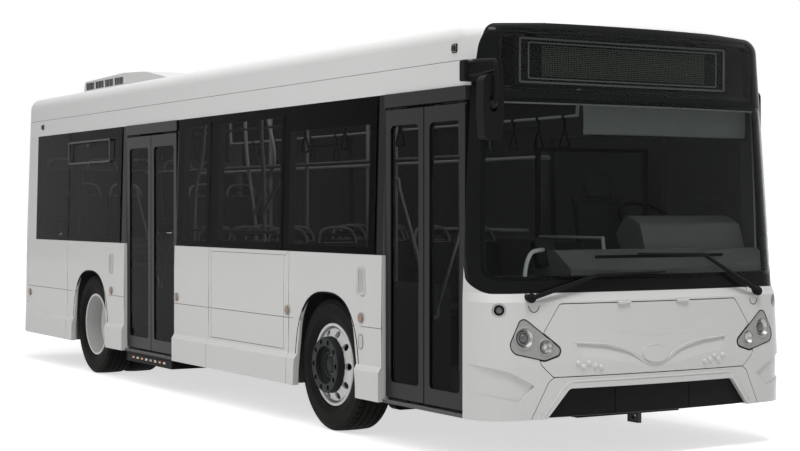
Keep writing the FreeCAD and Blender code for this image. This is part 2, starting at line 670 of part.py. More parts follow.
wheel_boxes = [wheel_box(side, FRONT_AXLE_Y, FRONT_BOX, FLOOR_Z) for side in (-1, 1)]
wheel_boxes += [wheel_box(side, REAR_AXLE_Y, REAR_BOX, FLOOR_Z) for side in (-1, 1)]
box_voids = []
for axle_y, size in ((FRONT_AXLE_Y, FRONT_BOX), (REAR_AXLE_Y, REAR_BOX)):
    for side in (-1, 1):
        box_voids.append(box(side * size["inner"], side * WORK, axle_y - size["half"], axle_y + size["half"],
                             -WORK, size["top"]))
low_deck = INSIDE_LOW.common(box(-WORK, WORK, -WORK, STEP_Y, FLOOR_Z - FLOOR_T, FLOOR_Z))
mid_step = INSIDE_LOW.common(box(-WORK, WORK, STEP_Y, STEP_Y + STEP_RUN, FLOOR_Z - FLOOR_T, MID_STEP_Z))
mid_step = mid_step.cut(box(-WORK, WORK, STEP_Y + 30, WORK, 0, MID_STEP_Z - FLOOR_T))
platform = INSIDE_LOW.common(box(-WORK, WORK, STEP_Y + STEP_RUN, PODIUM_Y, MID_STEP_Z - FLOOR_T, PLATFORM_Z))
platform = platform.cut(box(-WORK, WORK, STEP_Y + STEP_RUN + 30, WORK, 0, PLATFORM_Z - FLOOR_T))
podium = INSIDE_LOW.common(box(-WORK, WORK, PODIUM_Y, WORK, PLATFORM_Z - FLOOR_T, PODIUM_Z))
podium = podium.cut(box(-WORK, WORK, PODIUM_Y + 30, WORK, 0, PODIUM_Z - FLOOR_T))
deck = cut(fuse([low_deck, mid_step, platform, podium]), box_voids)
sills = [box(-HALF_W + 8, -HALF_W + WALL, y0 + FIT, y1 - FIT, FLOOR_Z - FLOOR_T, FLOOR_Z) for name, y0, y1 in DOORS]
pin_bores = [cyl(ARM_PIN_R + PIN_GAP, (LEAF_X, jamb + way * ARM_AXIS, FLOOR_Z - 16),
                 (LEAF_X, jamb + way * ARM_AXIS, FLOOR_Z + 1))
             for name, y0, y1 in DOORS for jamb, way in ((y0, 1), (y1, -1))]
axle_holes = cyl(82, (-WORK, REAR_AXLE_Y, AXLE_Z), (WORK, REAR_AXLE_Y, AXLE_Z))
save("floor_deck", cut(fuse([deck] + sills), pin_bores))
save("wheel_housings", [w.cut(axle_holes) for w in wheel_boxes])

# ---------------------------------------------------------------- ramp under the rear door
RAMP_Y = (REAR_JAMBS[0] + 60, REAR_JAMBS[1] - 60)
RAMP_Z = (206, SKIRT_Z - FIT)
RAMP_DEPTH = 780
RAMP_T = 26
RAMP_SHEET = 12
RAMP_SIDE_GAP = 8
cassette_zone = box(-HALF_W + 4, -HALF_W + RAMP_DEPTH, RAMP_Y[0], RAMP_Y[1], *RAMP_Z)
slot = box(-WORK, -HALF_W + RAMP_DEPTH - RAMP_SHEET, RAMP_Y[0] + RAMP_SHEET, RAMP_Y[1] - RAMP_SHEET,
           RAMP_Z[0] + RAMP_SHEET, RAMP_Z[1] - RAMP_SHEET)
save("ramp_cassette", cassette_zone.cut(slot))
ramp_low = RAMP_Z[0] + RAMP_SHEET + FIT
ramp_ends = (RAMP_Y[0] + RAMP_SHEET + RAMP_SIDE_GAP, RAMP_Y[1] - RAMP_SHEET - RAMP_SIDE_GAP)
ramp = box(-HALF_W + 5, -HALF_W + RAMP_DEPTH - 40, *ramp_ends, ramp_low, ramp_low + RAMP_T)
nose = prism("XZ", [(-HALF_W + 5, ramp_low, 0), (-HALF_W + 5, RAMP_Z[1] - RAMP_SHEET - 5, 0),
                    (-HALF_W + 25, RAMP_Z[1] - RAMP_SHEET - 5, 0), (-HALF_W + 40, ramp_low, 0)], *ramp_ends)
save("ramp_plate", fuse([ramp, nose]))

# ---------------------------------------------------------------- underframe and axles
RAIL_X = (330, 410)
RAIL_Z = (192, SKIRT_Z)
REAR_RAIL_Z = (560, 660)
KICK_Y = (1945, 2015)
CROSS_W = 70
CROSS_HALF = 640
FRAME_END = (-4435, 4480)
NOSE_Z = 250               # the rails' lower edge ahead of the taper
NOSE_TAPER = (-3950, -3650)
rail_side = [(FRAME_END[0], NOSE_Z, 0), (NOSE_TAPER[0], NOSE_Z, 60), (NOSE_TAPER[1], RAIL_Z[0], 60),
             (KICK_Y[1], RAIL_Z[0], 0), (KICK_Y[1], RAIL_Z[1], 0), (FRAME_END[0], RAIL_Z[1], 0)]
low_rails = [prism("YZ", rail_side, min(s * RAIL_X[0], s * RAIL_X[1]), max(s * RAIL_X[0], s * RAIL_X[1]))
             for s in (-1, 1)]
low_crosses = [box(-half, half, y - CROSS_W / 2, y + CROSS_W / 2, low, RAIL_Z[1])
               for y, half, low in ((FRAME_END[0] + CROSS_W / 2, 420, NOSE_Z), (-3500, CROSS_HALF, RAIL_Z[0]),
                                    (-1750, CROSS_HALF, RAIL_Z[0]), (-900, CROSS_HALF, RAIL_Z[0]),
                                    (0, CROSS_HALF, RAIL_Z[0]), (885, CROSS_HALF, RAIL_Z[0]),
                                    (1550, CROSS_HALF, RAIL_Z[0]))]
kicks = [box(s * RAIL_X[0], s * RAIL_X[1], *KICK_Y, RAIL_Z[0], REAR_RAIL_Z[1]) for s in (-1, 1)]
rear_rails = [box(s * RAIL_X[0], s * RAIL_X[1], KICK_Y[0], FRAME_END[1], *REAR_RAIL_Z) for s in (-1, 1)]
rear_crosses = [box(-CROSS_HALF, CROSS_HALF, y - CROSS_W / 2, y + CROSS_W / 2, *REAR_RAIL_Z)
                for y in (3150, FRAME_END[1] - CROSS_W / 2)]
bumper_stays = [INSIDE_LOW.common(box(s * 500, s * 560, FRAME_END[1] - 5, WORK, 572, 600)) for s in (-1, 1)]
ladder = fuse(low_rails + low_crosses + kicks + rear_rails + rear_crosses + bumper_stays)
save("underframe", ladder.cut(box(-WORK, -HALF_W + RAMP_DEPTH + FIT, RAMP_Y[0] - FIT, RAMP_Y[1] + FIT, 0, FLOOR_Z)))

BEAM_Z = (122, RAIL_Z[0] - FIT)
beam_end = KINGPIN_X - 40
beam_profile = [(beam_end, AXLE_Z - 48, 0), (760, AXLE_Z - 48, 60), (700, BEAM_Z[0], 60),
                (-700, BEAM_Z[0], 60), (-760, AXLE_Z - 48, 60), (-beam_end, AXLE_Z - 48, 0),
                (-beam_end, AXLE_Z + 48, 0), (-700, AXLE_Z + 48, 60), (-630, BEAM_Z[1], 60),
                (630, BEAM_Z[1], 60), (700, AXLE_Z + 48, 60), (beam_end, AXLE_Z + 48, 0)]
beam = prism("XZ", beam_profile, FRONT_AXLE_Y - 45, FRONT_AXLE_Y + 45)
eyes = [cyl(50, (s * KINGPIN_X, FRONT_AXLE_Y, AXLE_Z - 48), (s * KINGPIN_X, FRONT_AXLE_Y, AXLE_Z + 48))
        for s in (-1, 1)]
pin_holes = [cyl(KINGPIN_R + PIN_GAP, (s * KINGPIN_X, FRONT_AXLE_Y, 0), (s * KINGPIN_X, FRONT_AXLE_Y, 1000))
             for s in (-1, 1)]
save("front_axle_beam", cut(fuse([beam] + eyes), pin_holes))

rear_tube = cyl(70, (-(REAR_BOX["inner"] + 10), REAR_AXLE_Y, AXLE_Z), (REAR_BOX["inner"] + 10, REAR_AXLE_Y, AXLE_Z))
diff = Part.makeSphere(185, V(0, REAR_AXLE_Y, AXLE_Z))
diff = diff.common(box(-WORK, WORK, -WORK, WORK, AXLE_Z - WORK, REAR_RAIL_Z[0] - FIT))
spindle_end = REAR_OUTER_X - 20
spindle = cyl(SPINDLE_R, (-spindle_end, REAR_AXLE_Y, AXLE_Z), (spindle_end, REAR_AXLE_Y, AXLE_Z))
saddles = [box(s * (RAIL_X[0] - 5), s * (RAIL_X[1] + 5), REAR_AXLE_Y - 75, REAR_AXLE_Y + 75, AXLE_Z, REAR_RAIL_Z[0] - FIT)
           for s in (-1, 1)]
save("rear_axle", fuse([rear_tube, diff, spindle] + saddles))
save("engine_block", fuse([box(-450, 450, 3560, 4380, 420, REAR_RAIL_Z[0] - FIT),
                           box(-RAIL_X[0] + FIT, RAIL_X[0] - FIT, 3560, 4380, 540, 960)]))

# ---------------------------------------------------------------- wheels
def tyre(x, y):
    """Road tyre as one closed ring: bead, bulged sidewalls, shoulders and a plain tread band."""
    half, bead = TYRE_W / 2, RIM_W / 2 - FIT
    side = [(bead, RIM_SEAT_R + FIT, 0), (bead, RIM_FLANGE_R + 10, 10), (half, 375, 60),
            (half - 2, 430, 40), (half - 20, TYRE_R, 14)]
    profile = side + [(-u, r, c) for u, r, c in reversed(side)]
    return revolve_x(profile, x, y, AXLE_Z)


def rim(x, y, out, deep):
    """Steel disc wheel. out is +1 or -1, towards the road side; deep puts the disc at the inner end."""
    half = RIM_W / 2
    face = -1 if deep else 1
    seat = RIM_SEAT_R
    barrel = [(-half, seat, 0), (-half, RIM_FLANGE_R, 0), (-half - RIM_T, RIM_FLANGE_R, 3),
              (-half - RIM_T, seat - RIM_T, 3), (half + RIM_T, seat - RIM_T, 3), (half + RIM_T, RIM_FLANGE_R, 3),
              (half, RIM_FLANGE_R, 0), (half, seat, 0)]
    disc = [(face * 34, seat - RIM_T / 2, 0), (face * 50, seat - RIM_T / 2, 0), (face * 100, 262, 20),
            (face * 132, 196, 20), (face * 132, 120, 0), (face * 116, 120, 0), (face * 116, 190, 20),
            (face * 88, 252, 20)]
    solid = fuse([revolve_x(barrel, 0, 0, 0), revolve_x(disc, 0, 0, 0)])
    holes = [Part.makeCylinder(27, 150, V(face * 20, 0, 0) + V(0, 229 * math.cos(a), 229 * math.sin(a)),
                               V(face, 0, 0)) for a in (i * math.pi / 5 for i in range(10))]
    solid = cut(solid, holes)
    if out < 0:
        solid = mirror_x(solid)
    solid.translate(V(x, y, AXLE_Z))
    return solid


HUB_RING = (133, 205)      # inner and outer radius of the ring round the wheel bolts
HUB_NOSE = 186
BOLT_FACE = 132
BOLT_CIRCLE_R = 168
BOLTS = 10


def bolt_holes(x0, x1, r):
    turns = [2 * math.pi * i / BOLTS for i in range(BOLTS)]
    return [cyl(r, (x0, BOLT_CIRCLE_R * math.cos(a), BOLT_CIRCLE_R * math.sin(a)),
                (x1, BOLT_CIRCLE_R * math.cos(a), BOLT_CIRCLE_R * math.sin(a))) for a in turns]


def front_hub(out):
    """Hub on the front spindle, with the deep ring that guards the wheel bolts."""
    bore = SPINDLE_R + PIN_GAP
    inner, outer = HUB_RING
    profile = [(40, bore, 0), (BOLT_FACE - 10, bore, 0), (BOLT_FACE - 10, 70, 0), (BOLT_FACE + 18, 84, 10),
               (BOLT_FACE + 4, inner, 10), (HUB_NOSE, inner + 4, 4), (HUB_NOSE, outer - 6, 8),
               (BOLT_FACE + FIT, outer, 0), (BOLT_FACE + FIT, 112, 0), (40, 90, 8)]
    hub = cut(revolve_x(profile, 0, 0, 0), bolt_holes(BOLT_FACE + 14, HUB_NOSE + 20, 19))
    return hub if out > 0 else mirror_x(hub)


for side, hand in ((-1, "near"), (1, "off")):
    x = side * FRONT_TRACK / 2
    save("front_tyre_" + hand, tyre(x, FRONT_AXLE_Y))
    hub = front_hub(side)
    hub.translate(V(x, FRONT_AXLE_Y, AXLE_Z))
    save("front_rim_" + hand, fuse([rim(x, FRONT_AXLE_Y, side, False), hub]))
    lug_z = (AXLE_Z - 96, AXLE_Z - 52, AXLE_Z + 52, AXLE_Z + 96)
    kx = side * KINGPIN_X
    lugs = [cyl(48, (kx, FRONT_AXLE_Y, lug_z[0]), (kx, FRONT_AXLE_Y, lug_z[1])),
            cyl(48, (kx, FRONT_AXLE_Y, lug_z[2]), (kx, FRONT_AXLE_Y, lug_z[3])),
            cyl(KINGPIN_R, (kx, FRONT_AXLE_Y, lug_z[0] + 5), (kx, FRONT_AXLE_Y, lug_z[3] - 5)),
            box(kx, side * (KINGPIN_X + 90), FRONT_AXLE_Y - 48, FRONT_AXLE_Y + 48, lug_z[0], lug_z[1]),
            box(kx, side * (KINGPIN_X + 90), FRONT_AXLE_Y - 48, FRONT_AXLE_Y + 48, lug_z[2], lug_z[3]),
            box(side * (KINGPIN_X + 62), side * (KINGPIN_X + 90), FRONT_AXLE_Y - 48, FRONT_AXLE_Y + 48,
                lug_z[0], lug_z[3]),
            cyl(SPINDLE_R, (side * (KINGPIN_X + 70), FRONT_AXLE_Y, AXLE_Z),
                (side * (FRONT_TRACK / 2 + BOLT_FACE - 14), FRONT_AXLE_Y, AXLE_Z))]
    save("knuckle_" + hand, fuse(lugs))
    tyres, rims = [], []
    for i, x in enumerate((REAR_OUTER_X, REAR_OUTER_X - TWIN_SPACING)):
        tyres.append(tyre(side * x, REAR_AXLE_Y))
        disc_in = i == 0
        rims.append(rim(side * x, REAR_AXLE_Y, side, disc_in))
    inner_bolt = REAR_OUTER_X - TWIN_SPACING + BOLT_FACE
    outer_bolt = REAR_OUTER_X - BOLT_FACE
    hub = revolve_x([(inner_bolt + FIT, SPINDLE_R + PIN_GAP, 0), (outer_bolt + 66, SPINDLE_R + PIN_GAP, 0),
                     (outer_bolt + 66, 88, 8), (outer_bolt - FIT, 110, 0), (outer_bolt - FIT, 185, 6),
                     (inner_bolt + FIT, 185, 0)], 0, REAR_AXLE_Y, AXLE_Z)
    if side < 0:
        hub = mirror_x(hub)
    save("rear_tyres_" + hand, tyres)
    save("rear_rims_" + hand, rims + [hub])

# ---------------------------------------------------------------- passenger doors
def leaf_frame(width):
    """One door leaf lying along +y from its jamb end: outer frame with its pane opening."""
    half = LEAF_T / 2
    frame = box(-half, half, 0, width, LEAF_BOTTOM, LEAF_TOP)
    opening = prism("YZ", [(LEAF_STILE, LEAF_BOTTOM + LEAF_LOW_RAIL, 30), (width - LEAF_STILE, LEAF_BOTTOM + LEAF_LOW_RAIL, 30),
                           (width - LEAF_STILE, LEAF_TOP - LEAF_LOW_RAIL, 40), (LEAF_STILE, LEAF_TOP - LEAF_LOW_RAIL, 40)],
                    -WORK, WORK)
    return frame.cut(opening)


def leaf_pane(width):
    """Pane in the leaf's opening, with a hair's clearance all round."""
    gap = FIT
    half = LEAF_PANE_T / 2
    low, high = LEAF_BOTTOM + LEAF_LOW_RAIL + gap, LEAF_TOP - LEAF_LOW_RAIL - gap
    return prism("YZ", [(LEAF_STILE + gap, low, 30), (width - LEAF_STILE - gap, low, 30),
                        (width - LEAF_STILE - gap, high, 40), (LEAF_STILE + gap, high, 40)], -half - 6, half - 6)


def grab_bar(width):
    """Slanted grab bar on the leaf's inner face, on two stand-off feet."""
    inner = LEAF_T / 2
    low, high = (inner + 45, width - LEAF_STILE / 2, 950), (inner + 45, LEAF_STILE / 2, 1750)
    return tube([(inner - 2, low[1], low[2] - 60), (inner + 45, low[1], low[2] - 60), low, high,
                 (inner + 45, high[1], high[2] + 60), (inner - 2, high[1], high[2] + 60)], 13, 24)


def door_parts(name, y0, y1):
    """Two mirrored leaves with panes and arms; returns them by role with their pivot places."""
    middle = (y0 + y1) / 2
    width = (y1 - y0 - LEAF_MEET_GAP) / 2 - LEAF_JAMB_GAP
    arm = (width + LEAF_JAMB_GAP - ARM_AXIS) / 2
    leaf_pin = ARM_AXIS + arm - LEAF_JAMB_GAP          # from the leaf's jamb end
    frame = leaf_frame(width)
    for z in (LEAF_BOTTOM - 1, LEAF_TOP + 1 - 24):
        frame = frame.cut(cyl(ARM_PIN_R + PIN_GAP, (0, leaf_pin, z), (0, leaf_pin, z + 24)))
    frame = fuse([frame, grab_bar(width)])
    pane = leaf_pane(width)
    arms = []
    for z, way in ((LEAF_BOTTOM - ARM_GAP - ARM_T, 1), (LEAF_TOP + ARM_GAP, -1)):
        bar = box(-14, 14, 0, arm, z, z + ARM_T)
        ends = [cyl(14, (0, y, z), (0, y, z + ARM_T)) for y in (0, arm)]
        top = z + ARM_T / 2
        leaf_pin_end = top + way * (ARM_T / 2 + ARM_GAP + 18)
        frame_pin_end = top - way * (ARM_T / 2 + ARM_GAP + 12)
        pins = [cyl(ARM_PIN_R, (0, arm, top), (0, arm, leaf_pin_end)),
                cyl(ARM_PIN_R, (0, 0, top), (0, 0, frame_pin_end))]
        arms.append(fuse([bar] + ends + pins))
    result = []
    for leaf_name, jamb, way in (("fore", y0, 1), ("aft", y1, -1)):
        moved = []
        for shape, offset in ((frame, LEAF_JAMB_GAP), (pane, LEAF_JAMB_GAP), (arms[0], ARM_AXIS), (arms[1], ARM_AXIS)):
            copy = shape.copy()
            if way < 0:
                copy = copy.mirror(V(0, 0, 0), V(0, 1, 0))
            copy.translate(V(LEAF_X, jamb + way * offset, 0))
            moved.append(copy)
        prefix = "%s_door_%s_" % (name, leaf_name)
        save(prefix + "leaf", moved[0])
        save(prefix + "pane", moved[1])
        save(prefix + "arm", moved[2:])
        print("   pivots", prefix, "arm at y", jamb + way * ARM_AXIS, "leaf at y", jamb + way * (ARM_AXIS + arm))


for name, y0, y1 in DOORS:
    door_parts(name, y0, y1)

# Door frames: header with its rain lip and jamb strips, and the pivot boxes over the leaves
frames = []
HEADER_IN = 150
LIP_END = 40               # lip's end to the jamb
LIP_OUT = 22               # how far the lip stands out of the side
LIP_Z = (HEADER_Z + 6, BAND_Z - 6)


def rain_lip(y0, y1):
    """Arched lip over a door: a crescent on a straight lower edge, thickest at the foot."""
    middle = (y0 + y1) / 2
    bow = Part.Arc(V(0, y0, LIP_Z[0]), V(0, middle, LIP_Z[1]), V(0, y1, LIP_Z[0])).toShape()
    foot = Part.makeLine(V(0, y1, LIP_Z[0]), V(0, y0, LIP_Z[0]))
    crescent = Part.Face(Part.Wire([bow, foot])).extrude(V(-WORK, 0, 0))
    x = -HALF_W
    profile = [(x + 30, LIP_Z[0], 0), (x + 30, LIP_Z[1] + 4, 0), (x + 12, LIP_Z[1] + 4, 0),
               (x - LIP_OUT, LIP_Z[0] + 26, 14), (x - LIP_OUT + 4, LIP_Z[0], 4)]
    return crescent.common(prism("XZ", profile, y0, y1))


for name, y0, y1 in DOORS:
    header = box(-HALF_W + 24, -HALF_W + HEADER_IN, y0 + FIT, y1 - FIT, HEADER_Z, BAND_Z - FIT)
    header = fuse([header, rain_lip(y0 + LIP_END, y1 - LIP_END)])
    for jamb, way in ((y0, 1), (y1, -1)):
        y = jamb + way * ARM_AXIS
        header = header.cut(cyl(ARM_PIN_R + PIN_GAP, (LEAF_X, y, HEADER_Z - 1), (LEAF_X, y, HEADER_Z + 13)))
    frames.append(header)
save("door_headers", frames)

# ---------------------------------------------------------------- engine hatch
hatch = rear_face_zone(HATCH).common(body_low.cut(envelope(HATCH_T)[0]))
louvre = []
for i in range(9):
    z = 720 + i * 30
    louvre.append(box(-640, 640, 4500, WORK, z, z + 12))
hatch = cut(hatch, louvre + [room for ears, barrel, barrel_room, rooms in hatch_hinges for room in rooms])
save("engine_hatch", fuse([hatch] + [barrel for ears, barrel, *rest in hatch_hinges]))

# ---------------------------------------------------------------- roof unit
UNIT = dict(y0=1280, y1=4340, half=620, top=3010)
unit = prism("YZ", [(UNIT["y0"], 2770, 0), (UNIT["y0"] + 1250, UNIT["top"] - 30, 600), (UNIT["y1"] - 1200, UNIT["top"], 80),
                    (UNIT["y1"] - 20, UNIT["top"] - 20, 70), (UNIT["y1"], 2770, 20)], -UNIT["half"], UNIT["half"])
VENTS = [(y, y + 262) for y in range(3150, 4300, 288)]
VENT_Z = (2896, 2976)
VENT_DEPTH = 12
vents = [prism("YZ", [(y0, VENT_Z[0], 16), (y1, VENT_Z[0], 16), (y1, VENT_Z[1], 16), (y0, VENT_Z[1], 16)], low, high)
         for y0, y1 in VENTS for low, high in ((-WORK, -UNIT["half"] + VENT_DEPTH), (UNIT["half"] - VENT_DEPTH, WORK))]
save("roof_unit", unit.cut([body_high] + vents))

# ---------------------------------------------------------------- lamps on the sides
SIDE_LAMPS = [(4270, 716), (1820, 832), (227, 843), (-1914, 841), (-3054, 846)]
side_lamps = []
for side in (-1, 1):
    for y, z in SIDE_LAMPS:
        side_lamps.append(cyl(30, (side * (HALF_W + FIT), y, z), (side * (HALF_W + 14), y, z)))
save("side_lamps", side_lamps)

# ---------------------------------------------------------------- mirrors
def mirror_unit():
    ball = (-1262, -4738, 2235)
    arm = tube([(-1262, -4400, 2498), (-1262, -4560, 2506), (-1262, -4752, 2496), (-1262, -4752, 2330),
                (ball[0], ball[1], ball[2])], 12, 34)
    stay = tube([(-1262, -4400, 2424), (-1262, -4560, 2420), (-1262, -4752, 2436)], 10, 60)
    bracket = box(-1292, -1080, -4445, -4380, 2390, 2520)
    bracket = bracket.makeFillet(10, bracket.Edges).cut(fuse([body_low, body_high]))
    head = prism("XZ", [(-1324, 2015, 40), (-1196, 2015, 40), (-1185, 2180, 500), (-1187, 2410, 50), (-1335, 2410, 50),
                        (-1337, 2180, 500)], -4725, -4645)
    pocket = prism("XZ", offset([(-1286, 2190, 22), (-1238, 2190, 22), (-1238, 2282, 22), (-1286, 2282, 22)], 4),
                   -WORK, -4702)
    socket = Part.makeSphere(22, V(ball[0], -4716, ball[2]))
    return fuse([bracket, fuse([arm, stay]).cut(body_low), head.cut(pocket), socket])


off_head = prism("XZ", [(1275, 2080, 40), (1400, 2080, 40), (1400, 2440, 50), (1275, 2440, 50)], -4160, -4090)
off_bracket = cyl(14, (1200, -4210, 2480), (1330, -4125, 2480)).cut(body_low)
off_post = cyl(14, (1330, -4125, 2494), (1330, -4125, 2400))
save("mirrors", [mirror_unit(), fuse([off_head, off_bracket, off_post])])

# ---------------------------------------------------------------- wipers
def wiper(pivot_x, elbow, tip_x, tip_z):
    pivot = (pivot_x, -4668, 1046)
    return fuse([cyl(22, (pivot_x, -4600, 1046), (pivot_x, -4690, 1046)).cut(body_low),
                 tube([(pivot_x, -4684, 1046), (elbow[0], -4705, elbow[1]), (tip_x, -4700, tip_z)], 9, 30)])


save("wipers", [wiper(-929, (-640, 1130), 60, 1150), wiper(929, (600, 1190), -160, 1235)])

# ---------------------------------------------------------------- driver's area
DRIVER_FLOOR_Z = 660
BULKHEAD_Y = -3158         # front face of the wheel housings: the driver's area ends here
shelf = prism("YZ", [(-4600, 900, 0), (-4600, 1190, 0), (-4380, 1330, 60), (-4180, 1330, 60), (-4130, 1240, 40),
                     (-4200, 900, 0)], -560, 1160)
binnacle = prism("YZ", [(-4190, DRIVER_FLOOR_Z + FIT, 0), (-4300, 1300, 0), (-4230, 1500, 50), (-4080, 1560, 40),
                        (-3960, 1430, 60), (-4060, 1280, 60), (-4130, DRIVER_FLOOR_Z + FIT, 0)], 250, 1130)
dash = fuse([shelf, binnacle]).common(INSIDE_LOW)
save("dashboard", dash)
wheel_rim = Part.makeTorus(225, 15, V(0, 0, 0), V(0, 0, 1))
wheel_boss = Part.makeCylinder(55, 40, V(0, 0, -30))
spokes = [box(-220, 220, -12, 12, -14, -2)]
column = Part.makeCylinder(32, 420, V(0, 0, -440))
steering = fuse([wheel_rim, wheel_boss, column] + spokes)
steering.rotate(V(0, 0, 0), V(1, 0, 0), 38)
steering.translate(V(620, -3870, 1500))
save("steering_wheel", steering.cut(dash))


def seat(x, y, z, facing=1):
    """Moulded saloon seat: shell, cushion and a grab handle over the back, on a wall or floor leg."""
    pan = prism("YZ", [(-210, 400, 30), (200, 420, 20), (230, 470, 20), (-190, 460, 30)], -215, 215)
    back = prism("YZ", [(190, 440, 20), (290, 1010, 20), (250, 1020, 15), (150, 460, 20)], -205, 205)
    handle = tube([(-150, 275, 990), (-150, 300, 1080), (150, 300, 1080), (150, 275, 990)], 12, 40)
    leg = box(-60, 60, -60, 120, 0, 430)
    shape = fuse([pan, back, handle, leg])
    if facing < 0:
        shape.rotate(V(0, 0, 0), V(0, 0, 1), 180)
    shape.translate(V(x, y, z + FIT))
    return shape


SEATS = [
    # x, y, floor height
    (-900, -1500, FLOOR_Z), (-450, -1500, FLOOR_Z), (-900, -750, FLOOR_Z), (-450, -750, FLOOR_Z),
    (-900, -110, FLOOR_Z), (-450, -110, FLOOR_Z),
    (900, -1500, FLOOR_Z), (450, -1500, FLOOR_Z), (900, -750, FLOOR_Z), (450, -750, FLOOR_Z),
    (900, -50, FLOOR_Z), (450, -50, FLOOR_Z), (900, 650, FLOOR_Z),
    (-900, 3250, PLATFORM_Z), (-450, 3250, PLATFORM_Z), (900, 3250, PLATFORM_Z), (450, 3250, PLATFORM_Z),
    (-900, 3950, PODIUM_Z), (-450, 3950, PODIUM_Z), (0, 3950, PODIUM_Z), (450, 3950, PODIUM_Z), (900, 3950, PODIUM_Z),
]
save("passenger_seats", [seat(*row) for row in SEATS])
driver_seat = seat(620, -3520, DRIVER_FLOOR_Z)
save("driver_seat", driver_seat)
cab_floor = INSIDE_LOW.common(box(140, WORK, -4480, BULKHEAD_Y, FLOOR_Z + FIT, DRIVER_FLOOR_Z)).cut(
    box(170, 1150, -4440, BULKHEAD_Y - 30, 0, DRIVER_FLOOR_Z - 40))
rear_screen = box(140, 1160, BULKHEAD_Y - 30, BULKHEAD_Y, DRIVER_FLOOR_Z - 1, 2050)
side_screen = box(140, 165, -3990, BULKHEAD_Y, DRIVER_FLOOR_Z - 1, 1420)
save("driver_partition", fuse([cab_floor, rear_screen, side_screen]))

STANCHIONS = [(-300, -1900), (300, -1900), (-300, -385), (300, -385), (-300, 1560), (300, 1560), (-530, -3250)]
RAIL_H = 1980
posts = [cyl(17, (x, y, FLOOR_Z + FIT), (x, y, 2640)) for x, y in STANCHIONS]
rails = [cyl(17, (s * 300, -3100, RAIL_H), (s * 300, 3300, RAIL_H)) for s in (-1, 1)]
save("grab_rails", [fuse(posts[:-1] + rails), posts[-1]])

# ---------------------------------------------------------------- tow eyes
TOW_R = 21
TOW_T = 30
TOW_REACH = 110
TOW_EYE_OUT = 62           # bore to the face of the frame's end cross
# frame end, its direction along y, bottom and top of the lug, height of the bore
TOW_LUGS = [(FRAME_END[0], -1, 203, SKIRT_Z - FIT, 247), (FRAME_END[1], 1, 200, 640, 247)]
tows = []
for face_y, way, low, high, eye_z in TOW_LUGS:
    lug = box(-TOW_T / 2, TOW_T / 2, face_y + way * FIT, face_y + way * TOW_REACH, low, high)
    eye_y = face_y + way * TOW_EYE_OUT
    tows.append(lug.cut(cyl(TOW_R, (-TOW_T, eye_y, eye_z), (TOW_T, eye_y, eye_z))))
    print("   tow eye bore at", eye_y, eye_z)
save("tow_eyes", tows)
print("written", len(written))
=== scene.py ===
# %% [markdown]
# # A low-floor city bus, dressed around its CAD frame
# The frame brings every rigid piece at its real size: panels, glazing, doors, seats, axles.
# This lesson adds what a coach builder adds last: paint, rubber, glass, lamps, tread and trim.
# The whole bus could be modelled here, but then its doors and wheels would have no measured
# hinges. So the pieces are fitted on the frame.

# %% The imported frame
import math
import bmesh
import bpy
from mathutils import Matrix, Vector
from mathutils.bvhtree import BVHTree


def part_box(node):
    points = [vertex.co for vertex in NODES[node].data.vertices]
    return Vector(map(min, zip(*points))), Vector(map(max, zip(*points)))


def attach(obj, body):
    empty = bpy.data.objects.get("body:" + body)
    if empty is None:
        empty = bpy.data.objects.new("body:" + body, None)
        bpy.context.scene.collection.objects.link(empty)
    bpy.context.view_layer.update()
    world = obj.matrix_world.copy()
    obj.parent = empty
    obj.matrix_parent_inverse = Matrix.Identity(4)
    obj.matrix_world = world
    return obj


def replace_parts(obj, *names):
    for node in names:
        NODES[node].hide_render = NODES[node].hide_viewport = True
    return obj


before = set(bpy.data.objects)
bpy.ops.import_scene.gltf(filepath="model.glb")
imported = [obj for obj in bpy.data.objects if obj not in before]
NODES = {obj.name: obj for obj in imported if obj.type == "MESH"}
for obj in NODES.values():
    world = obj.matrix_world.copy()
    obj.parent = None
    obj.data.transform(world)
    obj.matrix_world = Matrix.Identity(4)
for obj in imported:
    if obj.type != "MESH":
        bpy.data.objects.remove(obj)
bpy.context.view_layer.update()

SIDES = (("near", -1), ("off", 1))       # the doors are on the near side, -x; the nose looks to -y
LEAVES = [door + leaf for door in ("front_door_", "rear_door_") for leaf in ("fore", "aft")]

# %% [markdown]
# ## Where the bus is seen from
# A bus is best shown from its door side, a little ahead of the nose, at about eye height. A
# short lens from close by would make the nose bulge, and a plain side view would hide it. A
# long lens from far away is chosen, because it keeps the side straight and calm.

# %% Camera
CAMERA_AT = Vector((-6.805, -13.073, 1.589))
CAMERA_YAW = math.radians(-30.35)
CAMERA_PITCH = math.radians(89.56)
camera_data = bpy.data.cameras.new("camera")
camera_data.lens, camera_data.sensor_width = 74.54, 36
camera_data.shift_y, camera_data.clip_end = -0.0029, 200
camera = bpy.data.objects.new("camera", camera_data)
camera.location = CAMERA_AT
camera.rotation_euler = (CAMERA_PITCH, 0, CAMERA_YAW)
bpy.context.scene.collection.objects.link(camera)
bpy.context.scene.camera = camera
bpy.context.scene.view_settings.view_transform = "Standard"
print("camera", tuple(camera.location))

# %% [markdown]
# ## Shader trees in a few words
# The world, the floor and all finishes are node trees. They could be wired by hand in the
# shader editor, but a script can be read and run again. These small functions add one node
# each: an input gets either a plain value or a link from another node's output.

# %% Node helpers
def node(tree, kind, **settings):
    made = tree.nodes.new(kind)
    for key, value in settings.items():
        setattr(made, key, value)
    return made


def feed(tree, slot, item):
    if isinstance(item, bpy.types.NodeSocket):
        tree.links.new(item, slot)
    else:
        slot.default_value = item


def give(tree, target, values):
    for label, item in values.items():
        feed(tree, target.inputs[label], item)


def times(tree, a, b, operation="MULTIPLY"):
    made = node(tree, "ShaderNodeMath", operation=operation)
    feed(tree, made.inputs[0], a)
    feed(tree, made.inputs[1], b)
    return made.outputs[0]


